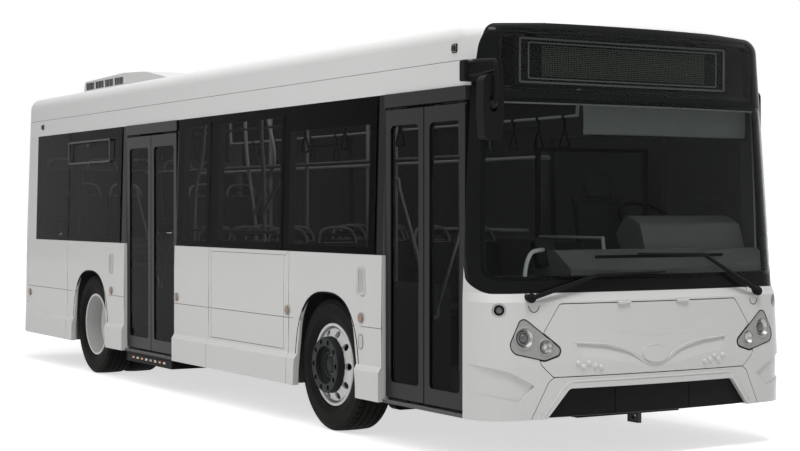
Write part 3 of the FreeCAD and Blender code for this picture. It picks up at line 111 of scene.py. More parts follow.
def looked_at(tree):
    """1 for rays by which the eye, a mirror or a pane looks at something, 0 for light on its way."""
    path = node(tree, "ShaderNodeLightPath").outputs
    seen = times(tree, path["Is Camera Ray"], path["Is Glossy Ray"], "MAXIMUM")
    return times(tree, seen, path["Is Transmission Ray"], "MAXIMUM")


print("node helpers ready")

# %% [markdown]
# ## Soft studio light
# White paint shows its form only if the top is a little brighter than the sides. One sun would
# do that with hard shadows, and an even world alone would flatten the panels. So a pale world
# fills everything, a large lamp hangs over the roof, and a smaller one high ahead of the nose.
# A weak lamp that nothing sees lights the saloon. What the eye sees behind the bus is white.

# %% The surround
WORLD_LEVEL = 0.33
world = bpy.data.worlds.new("studio")
bpy.context.scene.world = world
world.use_nodes = True
tree = world.node_tree
tree.nodes.clear()
seen, lit = node(tree, "ShaderNodeBackground"), node(tree, "ShaderNodeBackground")
give(tree, seen, {"Color": (1, 1, 1, 1)})
give(tree, lit, {"Color": (1.0, 1.0, 0.995, 1), "Strength": WORLD_LEVEL})
mix = node(tree, "ShaderNodeMixShader")
for slot, item in zip(mix.inputs, (looked_at(tree), lit.outputs[0], seen.outputs[0])):
    feed(tree, slot, item)
give(tree, node(tree, "ShaderNodeOutputWorld"), {"Surface": mix.outputs[0]})
print("world level", WORLD_LEVEL)

# %% Lamps and floor
CABIN_POWER, FLOOR_SIZE = 14, 160


def area_lamp(name, place, target, size, power):
    data = bpy.data.lights.new(name, "AREA")
    data.shape = "RECTANGLE"
    data.size, data.size_y = size
    data.energy = power
    lamp = bpy.data.objects.new(name, data)
    lamp.location = place
    lamp.rotation_euler = (Vector(target) - Vector(place)).to_track_quat("-Z", "Y").to_euler()
    bpy.context.scene.collection.objects.link(lamp)
    return lamp


area_lamp("sky_box", place=(-2.5, -2, 9), target=(0, 0, 0), size=(10, 14), power=700)
cabin = area_lamp("cabin_box", place=(0, 0.2, 2.60), target=(0, 0.2, 0), size=(1.1, 7.0), power=CABIN_POWER)
cabin.visible_camera = cabin.visible_glossy = cabin.visible_transmission = False
area_lamp("front_box", place=(-1, -8.5, 11), target=(0, -4.5, 1), size=(3, 3), power=560)

bpy.ops.mesh.primitive_plane_add(size=FLOOR_SIZE, location=(0, 0, 0))
floor = bpy.context.object
floor.name = "studio_floor"
print("lamps", len(bpy.data.lights))

# %% [markdown]
# ## Effects that several finishes share
# Road dust lies on paint, rubber and plastic alike: most of it near the road, thin and patchy
# higher up. Slight tone changes and fine grain are the same on all of them too. Each could be
# wired anew in every material, but then one change would have to be made dozens of times. So
# each is built once as a node group, and a material sets its own amounts. The groups put out
# only colours and masks; the shader itself stays in the material, where an export can read it.

# %% Helpers for colours and masks
def remap(tree, value, low, high, to_low=0.0, to_high=1.0):
    made = node(tree, "ShaderNodeMapRange", clamp=True)
    give(tree, made, {"Value": value, "From Min": low, "From Max": high, "To Min": to_low, "To Max": to_high})
    return made.outputs["Result"]


def blend_colour(tree, mask, a, b, mode="MIX"):
    made = node(tree, "ShaderNodeMix", data_type="RGBA", blend_type=mode)
    for slot, item in zip((made.inputs[0], made.inputs[6], made.inputs[7]), (mask, a, b)):
        feed(tree, slot, item)
    return made.outputs[2]


def grey(tree, level):
    made = node(tree, "ShaderNodeCombineColor")
    for slot in made.inputs:
        feed(tree, slot, level)
    return made.outputs[0]


def noise(tree, place, scale, detail=4.0):
    made = node(tree, "ShaderNodeTexNoise")
    give(tree, made, {"Vector": place, "Scale": scale, "Detail": detail, "Roughness": 0.55})
    return made.outputs["Fac"]


print("mask helpers ready")

# %% Road dust
def new_group(name, inputs, outputs):
    group = bpy.data.node_groups.new(name, "ShaderNodeTree")
    for label, value in inputs.items():
        kind = "NodeSocketColor" if isinstance(value, tuple) else "NodeSocketFloat"
        group.interface.new_socket(label, in_out="INPUT", socket_type=kind).default_value = value
    for label, kind in outputs.items():
        group.interface.new_socket(label, in_out="OUTPUT", socket_type=kind)
    return group, group.nodes.new("NodeGroupInput").outputs, group.nodes.new("NodeGroupOutput")


ROAD_DUST, enter, leave = new_group(
    "road_dust",
    {"Clean": (0.6, 0.6, 0.6, 1), "Dust": (0.2, 0.18, 0.15, 1), "Amount": 0.5, "Top": 1.0, "Tone": 0.03},
    {"Colour": "NodeSocketColor", "Mask": "NodeSocketFloat"})
tree = ROAD_DUST
place = node(tree, "ShaderNodeTexCoord").outputs["Object"]
split = node(tree, "ShaderNodeSeparateXYZ")
feed(tree, split.inputs[0], place)
low = remap(tree, split.outputs["Z"], 0.15, enter["Top"], 1.0, 0.0)
spread = remap(tree, noise(tree, place, 2.2, 6), 0.30, 0.75)
fine = remap(tree, noise(tree, place, 34.0, 3), 0.35, 0.8, 0.5, 1.0)
mask = times(tree, times(tree, times(tree, low, spread), fine), enter["Amount"])
tone = remap(tree, noise(tree, place, 0.9, 3), 0.3, 0.7, -1.0, 1.0)
level = times(tree, times(tree, tone, enter["Tone"]), 1.0, "ADD")
clean = blend_colour(tree, 1.0, enter["Clean"], grey(tree, level), "MULTIPLY")
give(tree, leave, {"Colour": blend_colour(tree, mask, clean, enter["Dust"]), "Mask": mask})
print("group", ROAD_DUST.name, "of", len(ROAD_DUST.nodes), "nodes")

# %% Fine grain
FINE_GRAIN, enter, leave = new_group("fine_grain", {"Scale": 200.0, "Sharpness": 0.5},
                                     {"Height": "NodeSocketFloat"})
tree = FINE_GRAIN
place = node(tree, "ShaderNodeTexCoord").outputs["Object"]
cells = node(tree, "ShaderNodeTexVoronoi", feature="SMOOTH_F1")
give(tree, cells, {"Vector": place, "Scale": enter["Scale"]})
both = node(tree, "ShaderNodeMix", data_type="FLOAT")
for number, item in ((0, enter["Sharpness"]), (2, noise(tree, place, enter["Scale"], 2)),
                     (3, cells.outputs["Distance"])):
    feed(tree, both.inputs[number], item)
give(tree, leave, {"Height": both.outputs[0]})
print("group", FINE_GRAIN.name, "of", len(FINE_GRAIN.nodes), "nodes")

# %% [markdown]
# ## Finishes
# Coach paint, moulded plastic, rubber, cast metal and cloth differ in colour, gloss and grain.
# Painted textures could show them, but they need files and a layout on every panel. So one
# helper makes every opaque finish from numbers: colour through the dust group, gloss that the
# dust takes away, and a grain that feeds a bump. Glass has its own helper, because it needs
# plain values on its shader. Coach white is a light grey by number, and black plastic is
# never quite black.

# %% Opaque finishes
DUST = (0.16, 0.145, 0.125, 1)
DUSTY_ROUGHNESS = 0.85


def new_material(name):
    made = bpy.data.materials.new(name)
    made.use_nodes = True
    return made, made.node_tree, made.node_tree.nodes["Principled BSDF"]


def finish(name, colour, rough, grain=0.0, grain_scale=220.0, dust=0.0, dust_top=0.9, metal=0.0, coat=0.0,
           tone=0.03, gleam=0.5):
    """grain is the bump's depth; dust lies up to dust_top above the road; gleam is the shine."""
    made, tree, shader = new_material(name)
    film = node(tree, "ShaderNodeGroup", node_tree=ROAD_DUST)
    give(tree, film, {"Clean": (*colour, 1), "Dust": DUST, "Amount": dust, "Top": dust_top, "Tone": tone})
    give(tree, shader, {"Metallic": metal, "Coat Weight": coat, "Coat Roughness": 0.06,
                        "Specular IOR Level": gleam, "Base Color": film.outputs["Colour"],
                        "Roughness": remap(tree, film.outputs["Mask"], 0, 1, rough, DUSTY_ROUGHNESS)})
    if grain:
        texture = node(tree, "ShaderNodeGroup", node_tree=FINE_GRAIN)
        give(tree, texture, {"Scale": grain_scale, "Sharpness": 0.4})
        bump = node(tree, "ShaderNodeBump")
        give(tree, bump, {"Strength": 0.5, "Distance": grain, "Height": texture.outputs["Height"]})
        give(tree, shader, {"Normal": bump.outputs[0]})
    return made


print("one helper for all opaque finishes")

# %% Paint, plastic, rubber and metal
COACH_WHITE = finish("coach_white", (0.62, 0.62, 0.61), 0.22, 0.0004, 60, 0.07, 0.75, coat=0.2, tone=0.012,
                     gleam=0.25)
ROOF_WHITE = finish("roof_white", (0.66, 0.66, 0.655), 0.35, 0.0004, 60, 0.0, coat=0.2, tone=0.02, gleam=0.35)
GLOSS_BLACK = finish("gloss_black", (0.008, 0.009, 0.0085), 0.10, dust=0.05, gleam=0.05)
SATIN_BLACK = finish("satin_black", (0.010, 0.011, 0.0105), 0.38, 0.0003, 260, 0.12, 0.6, gleam=0.12)
GRAINED_BLACK = finish("grained_black", (0.008, 0.008, 0.008), 0.55, 0.0006, 420, 0.05, 0.6, gleam=0.06)
# Black rubber; the same black is also painted shade in the gap round each headlamp.
RUBBER_AND_GAP_SHADE_BLACK = finish("rubber_and_gap_shade_black", (0.005, 0.005, 0.005), 0.7, 0.0004, 300, 0.04, 0.6, gleam=0.05)
TYRE_BLACK = finish("tyre_black", (0.0085, 0.0085, 0.0083), 0.72, 0.0007, 240, 0.10, 1.2, gleam=0.06)
STRAP_BLACK = finish("strap_black", (0.010, 0.010, 0.010), 0.6, 0.0003, 900, 0.0, gleam=0.12)
CHASSIS_BLACK = finish("chassis_black", (0.010, 0.010, 0.0105), 0.6, 0.0006, 160, 0.12, 1.2, gleam=0.06)
FRAME_DARK = finish("frame_dark", (0.045, 0.047, 0.047), 0.5, 0.0002, 300, 0.1, gleam=0.2)
SEAM_GREY = finish("seam_grey", (0.10, 0.10, 0.098), 0.8)
WHEEL_SILVER = finish("wheel_silver", (0.60, 0.60, 0.595), 0.42, 0.0002, 200, 0.20, 1.0, metal=0.25)
HUB_GREY = finish("hub_grey", (0.014, 0.016, 0.017), 0.5, 0.0004, 240, 0.06, 1.2, gleam=0.12)
CAST_GREY = finish("cast_grey", (0.045, 0.045, 0.045), 0.65, 0.0012, 120, 0.15, 1.2, gleam=0.25)
RIM_GREY = finish("rim_grey", (0.30, 0.30, 0.29), 0.35, dust=0.1)
RIB_GREY = finish("rib_grey", (0.42, 0.42, 0.41), 0.4, dust=0.2)
ALLOY = finish("alloy", (0.45, 0.45, 0.44), 0.4, 0.0005, 300, 0.3, metal=0.8)
print("finishes so far", len(bpy.data.materials))

# %% Lamps, lenses, marks and the plate
LAMP_GREY = finish("lamp_grey", (0.30, 0.30, 0.295), 0.42, 0.0003, 500, 0.1)
BOWL_METAL = finish("bowl_metal", (0.34, 0.34, 0.335), 0.22, metal=0.8)
BULB_PALE = finish("bulb_pale", (0.62, 0.62, 0.60), 0.15, coat=0.5)
SMOKE_LENS = finish("smoke_lens", (0.07, 0.072, 0.075), 0.12, 0.0004, 500, 0.05, coat=0.4)
AMBER_LENS = finish("amber_lens", (0.24, 0.13, 0.065), 0.15, 0.0006, 500, 0.2, coat=0.6)
RED_LENS = finish("red_lens", (0.26, 0.010, 0.008), 0.12, 0.0006, 400, 0.1, coat=0.6)
MIRROR_FACE = finish("mirror_face", (0.85, 0.86, 0.86), 0.03, metal=1.0)
MARK_ORANGE = finish("mark_orange", (0.55, 0.20, 0.06), 0.35, 0.0003, 700, 0.1, coat=0.2)
MARK_PALE = finish("mark_pale", (0.55, 0.56, 0.54), 0.35, 0.0003, 700, 0.1, coat=0.2)
MARK_RED = finish("mark_red", (0.30, 0.02, 0.015), 0.35, 0.0003, 700, 0.1, coat=0.2)
PLATE_PALE = finish("plate_pale", (0.50, 0.50, 0.48), 0.4, dust=0.2)
print("finishes so far", len(bpy.data.materials))

# %% Finishes of the saloon and the cab
FLOOR_VINYL = finish("floor_vinyl", (0.10, 0.10, 0.105), 0.6, 0.0002, 300, 0.1, 0.5, tone=0.1, gleam=0.15)
LINING_GREY = finish("lining_grey", (0.08, 0.08, 0.079), 0.55, 0.0004, 260, 0.0)
DASH_GREY = finish("dash_grey", (0.13, 0.133, 0.133), 0.6, 0.0006, 420, 0.0, gleam=0.15)
DIAL_DARK = finish("dial_dark", (0.02, 0.022, 0.025), 0.15, coat=0.5, gleam=0.2)
RAIL_GREY = finish("rail_grey", (0.46, 0.46, 0.44), 0.35, dust=0.05, coat=0.2)
RAIL_WHITE = finish("rail_white", (0.62, 0.62, 0.60), 0.3, coat=0.3)
SEAT_SHELL = finish("seat_shell", (0.045, 0.047, 0.05), 0.45, 0.0005, 320, 0.0, gleam=0.2)
SEAT_FABRIC = finish("seat_fabric", (0.055, 0.058, 0.062), 0.85, 0.0007, 650, 0.0, tone=0.15, gleam=0.1)
PIPING_GREY = finish("piping_grey", (0.40, 0.40, 0.39), 0.6)
LIGHT_STRIP = finish("light_strip", (0.70, 0.70, 0.68), 0.4)
BLIND_GREY = finish("blind_grey", (0.17, 0.175, 0.175), 0.8, 0.0003, 900, 0.0, gleam=0.1)
HEADER_GREY = finish("header_grey", (0.30, 0.31, 0.30), 0.5)
LED_GREY = finish("led_grey", (0.10, 0.105, 0.09), 0.4, gleam=0.1)
SIGN_TRIM = finish("sign_trim", (0.16, 0.165, 0.16), 0.45, gleam=0.2)
print("finishes so far", len(bpy.data.materials))


# %% Glass
def glass(name, tint, rough=0.02, index=1.45, painted_shade_indoors=None):
    """Clear body; the last argument, if given, is a near-black painted shade for the pane where it is seen from
    indoors: it keeps daylight out of the saloon and darkens the far windows.
    """
    made, tree, shader = new_material(name)
    give(tree, shader, {"Base Color": (*tint, 1), "Roughness": rough, "IOR": index, "Transmission Weight": 1.0})
    if painted_shade_indoors:
        outward = node(tree, "ShaderNodeNewGeometry").outputs["Backfacing"]
        give(tree, shader, {"Base Color": blend_colour(tree, outward, (*tint, 1), (*painted_shade_indoors, 1))})
    return made


# Painted shade: near black where a pane is seen from indoors, so no daylight comes into the saloon through the panes
# and the far windows look dark.
INDOOR_PAINTED_SHADE = (0.0001, 0.0001, 0.0001)
TINTED_GLASS = glass("tinted_glass", (0.34, 0.36, 0.355), index=1.07, painted_shade_indoors=INDOOR_PAINTED_SHADE)
INNER_GLASS = glass("inner_glass", (0.85, 0.87, 0.86), index=1.07)
SCREEN_GLASS = glass("screen_glass", (0.55, 0.58, 0.57), index=1.12)
CLEAR_PANE = glass("clear_pane", (0.80, 0.83, 0.82), index=1.2)
SIGN_GLASS = glass("sign_glass", (0.55, 0.58, 0.57), index=1.16)
CLEAR_LENS = glass("clear_lens", (0.93, 0.94, 0.94), 0.03)
print("finishes with glass", len(bpy.data.materials))

# %% Each CAD node gets its finish
COATS = (
    (COACH_WHITE, "near_side_panels off_side_panels rear_body rear_bumper front_corners bumper front_flap "
                  "engine_hatch"),
    (ROOF_WHITE, "roof_panels roof_unit"),
    (TINTED_GLASS, "body_glazing rear_window"),
    (SCREEN_GLASS, "windscreen"),
    (GLOSS_BLACK, "front_mask window_pillars"),
    (SATIN_BLACK, "door_headers"),
    (RED_LENS, "tail_lamps"),
    (AMBER_LENS, "side_lamps"),
    (LAMP_GREY, "headlamps"),
    (GRAINED_BLACK, "destination_sign lower_panels ramp_cassette mirrors wipers steering_wheel driver_partition"),
    (DASH_GREY, "dashboard"),
    (FLOOR_VINYL, "floor_deck wheel_housings"),
    (CHASSIS_BLACK, "underframe front_axle_beam rear_axle knuckle_near knuckle_off"),
    (CAST_GREY, "engine_block tow_eyes"),
    (RAIL_GREY, "grab_rails"),
    (SEAT_SHELL, "passenger_seats driver_seat"),
    (ALLOY, "ramp_plate"),
    (TYRE_BLACK, "front_tyre_near front_tyre_off rear_tyres_near rear_tyres_off"),
    (WHEEL_SILVER, "front_rim_near front_rim_off rear_rims_near rear_rims_off"))
DOOR_COATS = ((SATIN_BLACK, "_leaf"), (TINTED_GLASS, "_pane"), (CHASSIS_BLACK, "_arm"))
for material, names in [*COATS, *((coat, leaf + end) for leaf in LEAVES for coat, end in DOOR_COATS)]:
    for name in names.split():
        NODES[name].data.materials.clear()
        NODES[name].data.materials.append(material)
print("coats", len(COATS), "and", len(DOOR_COATS), "on each of", len(LEAVES), "door leaves")

# %% [markdown]
# ## Small builders
# Most fittings of a bus are one of four forms: a turned part such as a cap, a flat plate with
# round corners, a round bar along a path, or a soft pad. Blender's own primitives could be
# used, but they depend on what is selected. Short functions that return points and faces
# don't, and `piece` turns any number of forms into one object with merged corners and a soft
# edge. So each fitting stays a few lines.

# %% From forms to one piece
CORNER_GAP = 2e-5            # corners closer than this are one


def together(forms):
    points, faces = [], []
    for more_points, more_faces in forms:
        start = len(points)
        points += [tuple(p) for p in more_points]
        faces += [tuple(i + start for i in face) for face in more_faces]
    return points, faces


def new_object(name, data):
    made = bpy.data.objects.new(name, data)
    bpy.context.scene.collection.objects.link(made)
    return made


def clean_mesh(name, forms):
    """One mesh with merged corners and outward normals."""
    points, faces = together(forms)
    mesh = bpy.data.meshes.new(name)
    mesh.from_pydata(points, [], faces)
    clean = bmesh.new()
    clean.from_mesh(mesh)
    bmesh.ops.remove_doubles(clean, verts=clean.verts, dist=CORNER_GAP)
    bmesh.ops.recalc_face_normals(clean, faces=clean.faces)
    clean.to_mesh(mesh)
    clean.free()
    return mesh


def piece(name, forms, material, body="coach", bevel=0.0, rounds=0, sharp=38):
    """One object from forms; it rides on its body. bevel softens edges, rounds subdivides."""
    mesh = clean_mesh(name, forms)
    mesh.materials.append(material)
    for polygon in mesh.polygons:
        polygon.use_smooth = True
    mesh.set_sharp_from_angle(angle=math.radians(sharp))
    made = new_object(name, mesh)
    if bevel:
        edge = made.modifiers.new("soft_edge", "BEVEL")
        edge.width, edge.segments, edge.angle_limit = bevel, 2, math.radians(sharp)
    if rounds:
        smooth = made.modifiers.new("round", "SUBSURF")
        smooth.levels = smooth.render_levels = rounds
    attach(made, body)
    return made


print("forms become one piece")

# %% Turned forms
def lathe(profile, centre, direction, segments=32, closed=False):
    """Turned form: (along, radius) pairs turned about a line through centre."""
    turn = Vector((1, 0, 0)).rotation_difference(Vector(direction).normalized()).to_matrix()
    points, faces, n = [], [], len(profile)
    for i in range(segments):
        angle = 2 * math.pi * i / segments
        for along, radius in profile:
            spoke = Vector((along, radius * math.cos(angle), radius * math.sin(angle)))
            points.append(Vector(centre) + turn @ spoke)
    for i in range(segments):
        j = (i + 1) % segments
        for k in range(n if closed else n - 1):
            m = (k + 1) % n
            faces.append((i * n + k, i * n + m, j * n + m, j * n + k))
    return points, faces


washer = lathe([(0, 0), (0, 0.02), (0.003, 0.02), (0.003, 0)], (0, 0, 0), (1, 0, 0))
print("faces of a turned washer", len(washer[1]))

# %% Flat plates
FORWARD, REARWARD = ((1, 0, 0), (0, 0, 1)), ((-1, 0, 0), (0, 0, 1))        # across and up of a plate


def sideways(side):
    return (0, side, 0), (0, 0, 1)


def rounded(width, height, radius, steps=5):
    """Outline of an oblong with round corners, about its middle."""
    outline = []
    for cx, cy, first in ((1, 1, 0), (-1, 1, 1), (-1, -1, 2), (1, -1, 3)):
        for i in range(steps + 1):
            angle = (first + i / steps) * math.pi / 2
            outline.append((cx * (width / 2 - radius) + radius * math.cos(angle),
                            cy * (height / 2 - radius) + radius * math.sin(angle)))
    return outline


def oblong(low, high):
    return [low, (high[0], low[1]), high, (low[0], high[1])]


def placed(outlines, origin, across, up, thick):
    """Outlines in (across, up) at an origin, first flat, then moved on by thick."""
    across, up = Vector(across).normalized(), Vector(up).normalized()
    out = across.cross(up)
    return [Vector(origin) + across * a + up * b + out * t for t in (0, thick) for line in outlines for a, b in line]


def plate(outline, origin, across, up, thick):
    """Flat plate from an outline, thickened towards across x up."""
    n = len(outline)
    faces = [tuple(reversed(range(n))), tuple(range(n, 2 * n))]
    faces += [(i, (i + 1) % n, n + (i + 1) % n, n + i) for i in range(n)]
    return placed([outline], origin, across, up, thick), faces


print("points round a plate with round corners", len(rounded(0.10, 0.05, 0.01)))

# %% [markdown]
# ## One node, two finishes
# A side panel is painted outside and lined inside, a wheel is silver with a dark hub guard,
# and the frame has each as one rigid piece. The meshes could be split, but then a piece would
# no longer be the solid that was checked. So the mesh stays, and a face gets the second finish
# from where it lies and which way it looks.

# %% Reading and painting a node
def middle_of(name):
    low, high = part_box(name)
    return (low + high) / 2


def second_finish(name, material, test, widest=None):
    """Gives a CAD node a further finish on the faces that the test picks by middle and normal.
    With widest, only slivers no wider than that are taken, such as the floor of a groove."""
    mesh = NODES[name].data
    mesh.materials.append(material)
    index, count = len(mesh.materials) - 1, 0
    for polygon in mesh.polygons:
        if widest:
            corners = [mesh.vertices[i].co for i in polygon.vertices]
            longest = max((a - b).length for a, b in zip(corners, corners[1:] + corners[:1]))
            if 2 * polygon.area / longest > widest:
                continue
        if test(polygon.center, polygon.normal):
            polygon.material_index = index
            count += 1
    return count


print("middle of the front tyre", [round(v, 3) for v in middle_of("front_tyre_near")])

# %% Linings, hubs, lips and panes
SIDE_SKIN_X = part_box("rear_body")[1].x        # flat side skin; the skirt ledge stands further out
LINING_X, PILLAR_X, HEADER_X = 1.215, 1.225, -1.228
CEILING_Z, TAIL_LINING_Y, SIGN_PANE_Y = 2.70, 4.60, -4.41
TYRE_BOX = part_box("front_tyre_near")
FRONT_AXLE_Y, AXLE_Z = middle_of("front_tyre_near").y, middle_of("front_tyre_near").z
REAR_AXLE_Y = middle_of("rear_tyres_near").y
TYRE_R, TYRE_HALF = (TYRE_BOX[1].z - TYRE_BOX[0].z) / 2, (TYRE_BOX[1].x - TYRE_BOX[0].x) / 2
HUB_RING_R, HUB_RING_DEEP, REAR_HUB_R = 0.207, 0.058, 0.116
LEAF_INNER_X = -1.1825
SEAM_Z, FRAME_TOP_Z = (0.53, 1.05), 1.256       # heights of the pressed seams, and of their top line
RAMP_LIP_X, SILL_X = -1.235, -1.19


def from_axle(at, y):
    return math.hypot(at.y - y, at.z - AXLE_Z)


def in_seam(at, n):
    return (SIDE_SKIN_X - 0.0056 < abs(at.x) < SIDE_SKIN_X - 0.0003 and
            (SEAM_Z[0] < at.z < SEAM_Z[1] or abs(at.z - FRAME_TOP_Z) < 0.004))


PANELS = ("near_side_panels", "off_side_panels")
for name in PANELS:
    second_finish(name, LINING_GREY, lambda at, n: n.x * at.x < -0.5 * abs(at.x) and abs(at.x) < LINING_X)
second_finish("window_pillars", LINING_GREY, lambda at, n: abs(at.x) < PILLAR_X and n.x * at.x < 0.3)
second_finish("roof_panels", LINING_GREY, lambda at, n: n.z < -0.2 or (at.z < CEILING_Z and n.x * at.x < -0.2))
second_finish("rear_body", LINING_GREY, lambda at, n: n.y < -0.4 and at.y < TAIL_LINING_Y)
second_finish("door_headers", GLOSS_BLACK, lambda at, n: at.x < HEADER_X)
second_finish("destination_sign", SIGN_GLASS, lambda at, n: at.y < SIGN_PANE_Y)
for name in ["body_glazing"] + [leaf + "_pane" for leaf in LEAVES]:
    second_finish(name, INNER_GLASS, lambda at, n: n.x * at.x < 0)
second_finish("rear_window", INNER_GLASS, lambda at, n: n.y < 0)
for hand, side in SIDES:
    face_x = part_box("front_rim_" + hand)[0 if side < 0 else 1].x
    second_finish("front_rim_" + hand, HUB_GREY, lambda at, n: abs(face_x - at.x) < HUB_RING_DEEP and
                  from_axle(at, FRONT_AXLE_Y) < HUB_RING_R)
    second_finish("rear_rims_" + hand, HUB_GREY, lambda at, n: from_axle(at, REAR_AXLE_Y) < REAR_HUB_R)
for leaf in LEAVES:
    second_finish(leaf + "_leaf", RAIL_WHITE, lambda at, n: at.x > LEAF_INNER_X)
for name in PANELS:
    print(name, "seam faces", second_finish(name, SEAM_GREY, in_seam, widest=0.0062))
second_finish("ramp_plate", GRAINED_BLACK, lambda at, n: at.x < RAMP_LIP_X)
second_finish("floor_deck", ALLOY, lambda at, n: at.x < SILL_X and n.z > 0.5)
print("axles at", round(FRONT_AXLE_Y, 3), round(REAR_AXLE_Y, 3), "tyre radius", round(TYRE_R, 4))

# %% [markdown]
# ## Tyres
# The frame's tyre is a plain ring. A real one has four grooves round it, small cuts across the
# shoulders, a raised band on the sidewall and a lip over the rim. Cutting them out with a
# boolean would leave ragged edges on the curve. So one profile is turned about the axle, and
# the shoulder is lowered at some rings of points: that makes the cuts, and the tyre stays a
# single clean surface.

# %% Solids within a node
def merged(name):
    """A node's mesh as a bmesh whose split corners are joined again."""
    form = bmesh.new()
    form.from_mesh(NODES[name].data)
    bmesh.ops.remove_doubles(form, verts=form.verts, dist=CORNER_GAP)
    return form


def solid_boxes(name):
    """Lowest and highest corner of each separate solid of a node."""
    form = merged(name)
    left, boxes = set(form.verts), []
    while left:
        stack, island = [left.pop()], []
        while stack:
            vert = stack.pop()
            island.append(vert.co.copy())
            for edge in vert.link_edges:
                other = edge.other_vert(vert)
                if other in left:
                    left.remove(other)
                    stack.append(other)
        boxes.append([Vector([pick(c[i] for c in island) for i in range(3)]) for pick in (min, max)])
    form.free()
    return sorted(boxes, key=lambda b: (round(b[0].x, 3), b[0].y))


print("solids in the rear tyres", len(solid_boxes("rear_tyres_near")))

# %% Profile of a tyre
TREAD_EDGE = TYRE_HALF - 0.021
GROOVES = (0.078, 0.027)                 # each is on both halves of the tread
GROOVE_W, GROOVE_DEEP, SHOULDER_CUT = 0.010, 0.013, 0.009
BLOCKS = 52
BLOCK_STEPS = ((0.0, 0.0), (0.42, 0.0), (0.86, 0.0), (0.875, SHOULDER_CUT), (0.985, SHOULDER_CUT))
SIDEWALL = [(0.104, 0.2868), (0.106, 0.300), (0.112, 0.311), (0.1175, 0.318), (0.122, 0.330), (0.1325, 0.356),
            (0.1362, 0.362), (0.1368, 0.366), (0.1362, 0.370), (TYRE_HALF - 0.0005, 0.392), (0.1365, 0.414),
            (0.1340, 0.432), (0.1352, 0.4345), (0.1350, 0.4385), (0.1325, 0.4405), (0.1275, 0.452),
            (0.1235, 0.465)]             # along the axle, radius


def tread_radius(along):
    return TYRE_R - 0.0035 * (along / TREAD_EDGE) ** 2


def tyre_profile(cut):
    """Profile from bead to bead; cut lowers the shoulder ribs."""
    half = SIDEWALL + [(TREAD_EDGE + 0.0015, tread_radius(TREAD_EDGE) - 0.003 - cut),
                       (TREAD_EDGE - 0.003, tread_radius(TREAD_EDGE) - cut)]
    for i, middle in enumerate(GROOVES):
        wall = cut if i == 0 else 0.0
        out, inn = middle + GROOVE_W / 2, middle - GROOVE_W / 2
        half += [(out, tread_radius(out) - wall), (out - 0.0015, tread_radius(out) - GROOVE_DEEP),
                 (inn + 0.0015, tread_radius(inn) - GROOVE_DEEP), (inn, tread_radius(inn))]
    return half + [(-a, r) for a, r in reversed(half)]


print("points in the profile", len(tyre_profile(0)))


# %% Four tyres, two of them twins
def tyre(x, y):
    points, faces = [], []
    for number in range(BLOCKS):
        for part, cut in BLOCK_STEPS:
            angle = 2 * math.pi * (number + part) / BLOCKS
            for along, radius in tyre_profile(cut):
                points.append((x + along, y + radius * math.sin(angle), AXLE_Z + radius * math.cos(angle)))
    n, rings = len(tyre_profile(0)), BLOCKS * len(BLOCK_STEPS)
    for i in range(rings):
        j = (i + 1) % rings
        faces += [(i * n + k, i * n + k + 1, j * n + k + 1, j * n + k) for k in range(n - 1)]
    return points, faces


for hand, side in SIDES:
    twins = [(low.x + high.x) / 2 for low, high in solid_boxes("rear_tyres_" + hand)]
    for name, node_name, centres, y, body in (
            ("front_tyre_tread_", "front_tyre_", [middle_of("front_tyre_" + hand).x], FRONT_AXLE_Y, "front_wheel_"),
            ("rear_tyre_treads_", "rear_tyres_", twins, REAR_AXLE_Y, "rear_wheels_")):
        made = piece(name + hand, [tyre(x, y) for x in centres], TYRE_BLACK, body + hand)
        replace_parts(made, node_name + hand)
        print(made.name, "at x", [round(x, 3) for x in centres], "faces", len(made.data.polygons))

# %% [markdown]
# ## Wheel nuts and hub caps
# Ten nuts hold each wheel: in the recesses of the hub guard in front, on the dished disc of
# the rear twins. A nut could be a cylinder with a bevel, but the turned form does it already:
# with six steps round it has six flats, and with sixteen it is the washer under the nut.

# %% Wheel fittings
NUT_CIRCLE_R, NUTS = 0.168, 10
NUT = [(0.0, 0.0), (0.0, 0.0165), (0.004, 0.0185), (0.020, 0.0185), (0.025, 0.0150), (0.031, 0.0110), (0.031, 0.0)]
WASHER = [(0.0, 0.0), (0.0, 0.0205), (0.003, 0.0205), (0.0035, 0.0)]
FRONT_CAP = [(0.0, 0.0), (0.0, 0.066), (0.010, 0.066), (0.020, 0.058), (0.026, 0.040), (0.029, 0.018), (0.029, 0.0)]
REAR_CAP = [(0.0, 0.0), (0.0, 0.082), (0.012, 0.082), (0.020, 0.076), (0.024, 0.050), (0.034, 0.046), (0.036, 0.0)]


def nuts(x, y, side):
    forms = []
    for i in range(NUTS):
        angle = 2 * math.pi * i / NUTS
        at = (x, y + NUT_CIRCLE_R * math.cos(angle), AXLE_Z + NUT_CIRCLE_R * math.sin(angle))
        forms += [lathe(NUT, at, (side, 0, 0), 6), lathe(WASHER, at, (side, 0, 0), 16)]
    return forms


for hand, side in SIDES:
    front_x = middle_of("front_tyre_" + hand).x
    rear_x = side * max(abs(low.x + high.x) / 2 for low, high in solid_boxes("rear_tyres_" + hand))
    for end, body, y, cap, nuts_x, cap_x in (
            ("front", "front_wheel_", FRONT_AXLE_Y, FRONT_CAP, front_x + side * 0.1445, front_x + side * 0.1215),
            ("rear", "rear_wheels_", REAR_AXLE_Y, REAR_CAP, rear_x - side * 0.1165, rear_x - side * 0.067)):
        piece(end + "_wheel_nuts_" + hand, nuts(nuts_x, y, side), CAST_GREY, body + hand, bevel=0.0006)
        piece(end + "_hub_cap_" + hand, [lathe(cap, (cap_x, y, AXLE_Z), (side, 0, 0), 40)], HUB_GREY, body + hand)
print("nuts and caps on four wheels")

# %% [markdown]
# ## Headlamps and turn lamps
# Each lamp housing has two round bowls with a stepped ring: a projector behind a dark lens on
# the outside, a reflector with its bulb on the inside. Discs laid on the housing would look
# printed on. So the bowls are cut into a copy of the housings with a boolean, and turned forms
# stand in them. Rays cast at the nose find the skin and its slope, so that the rings sit flat.

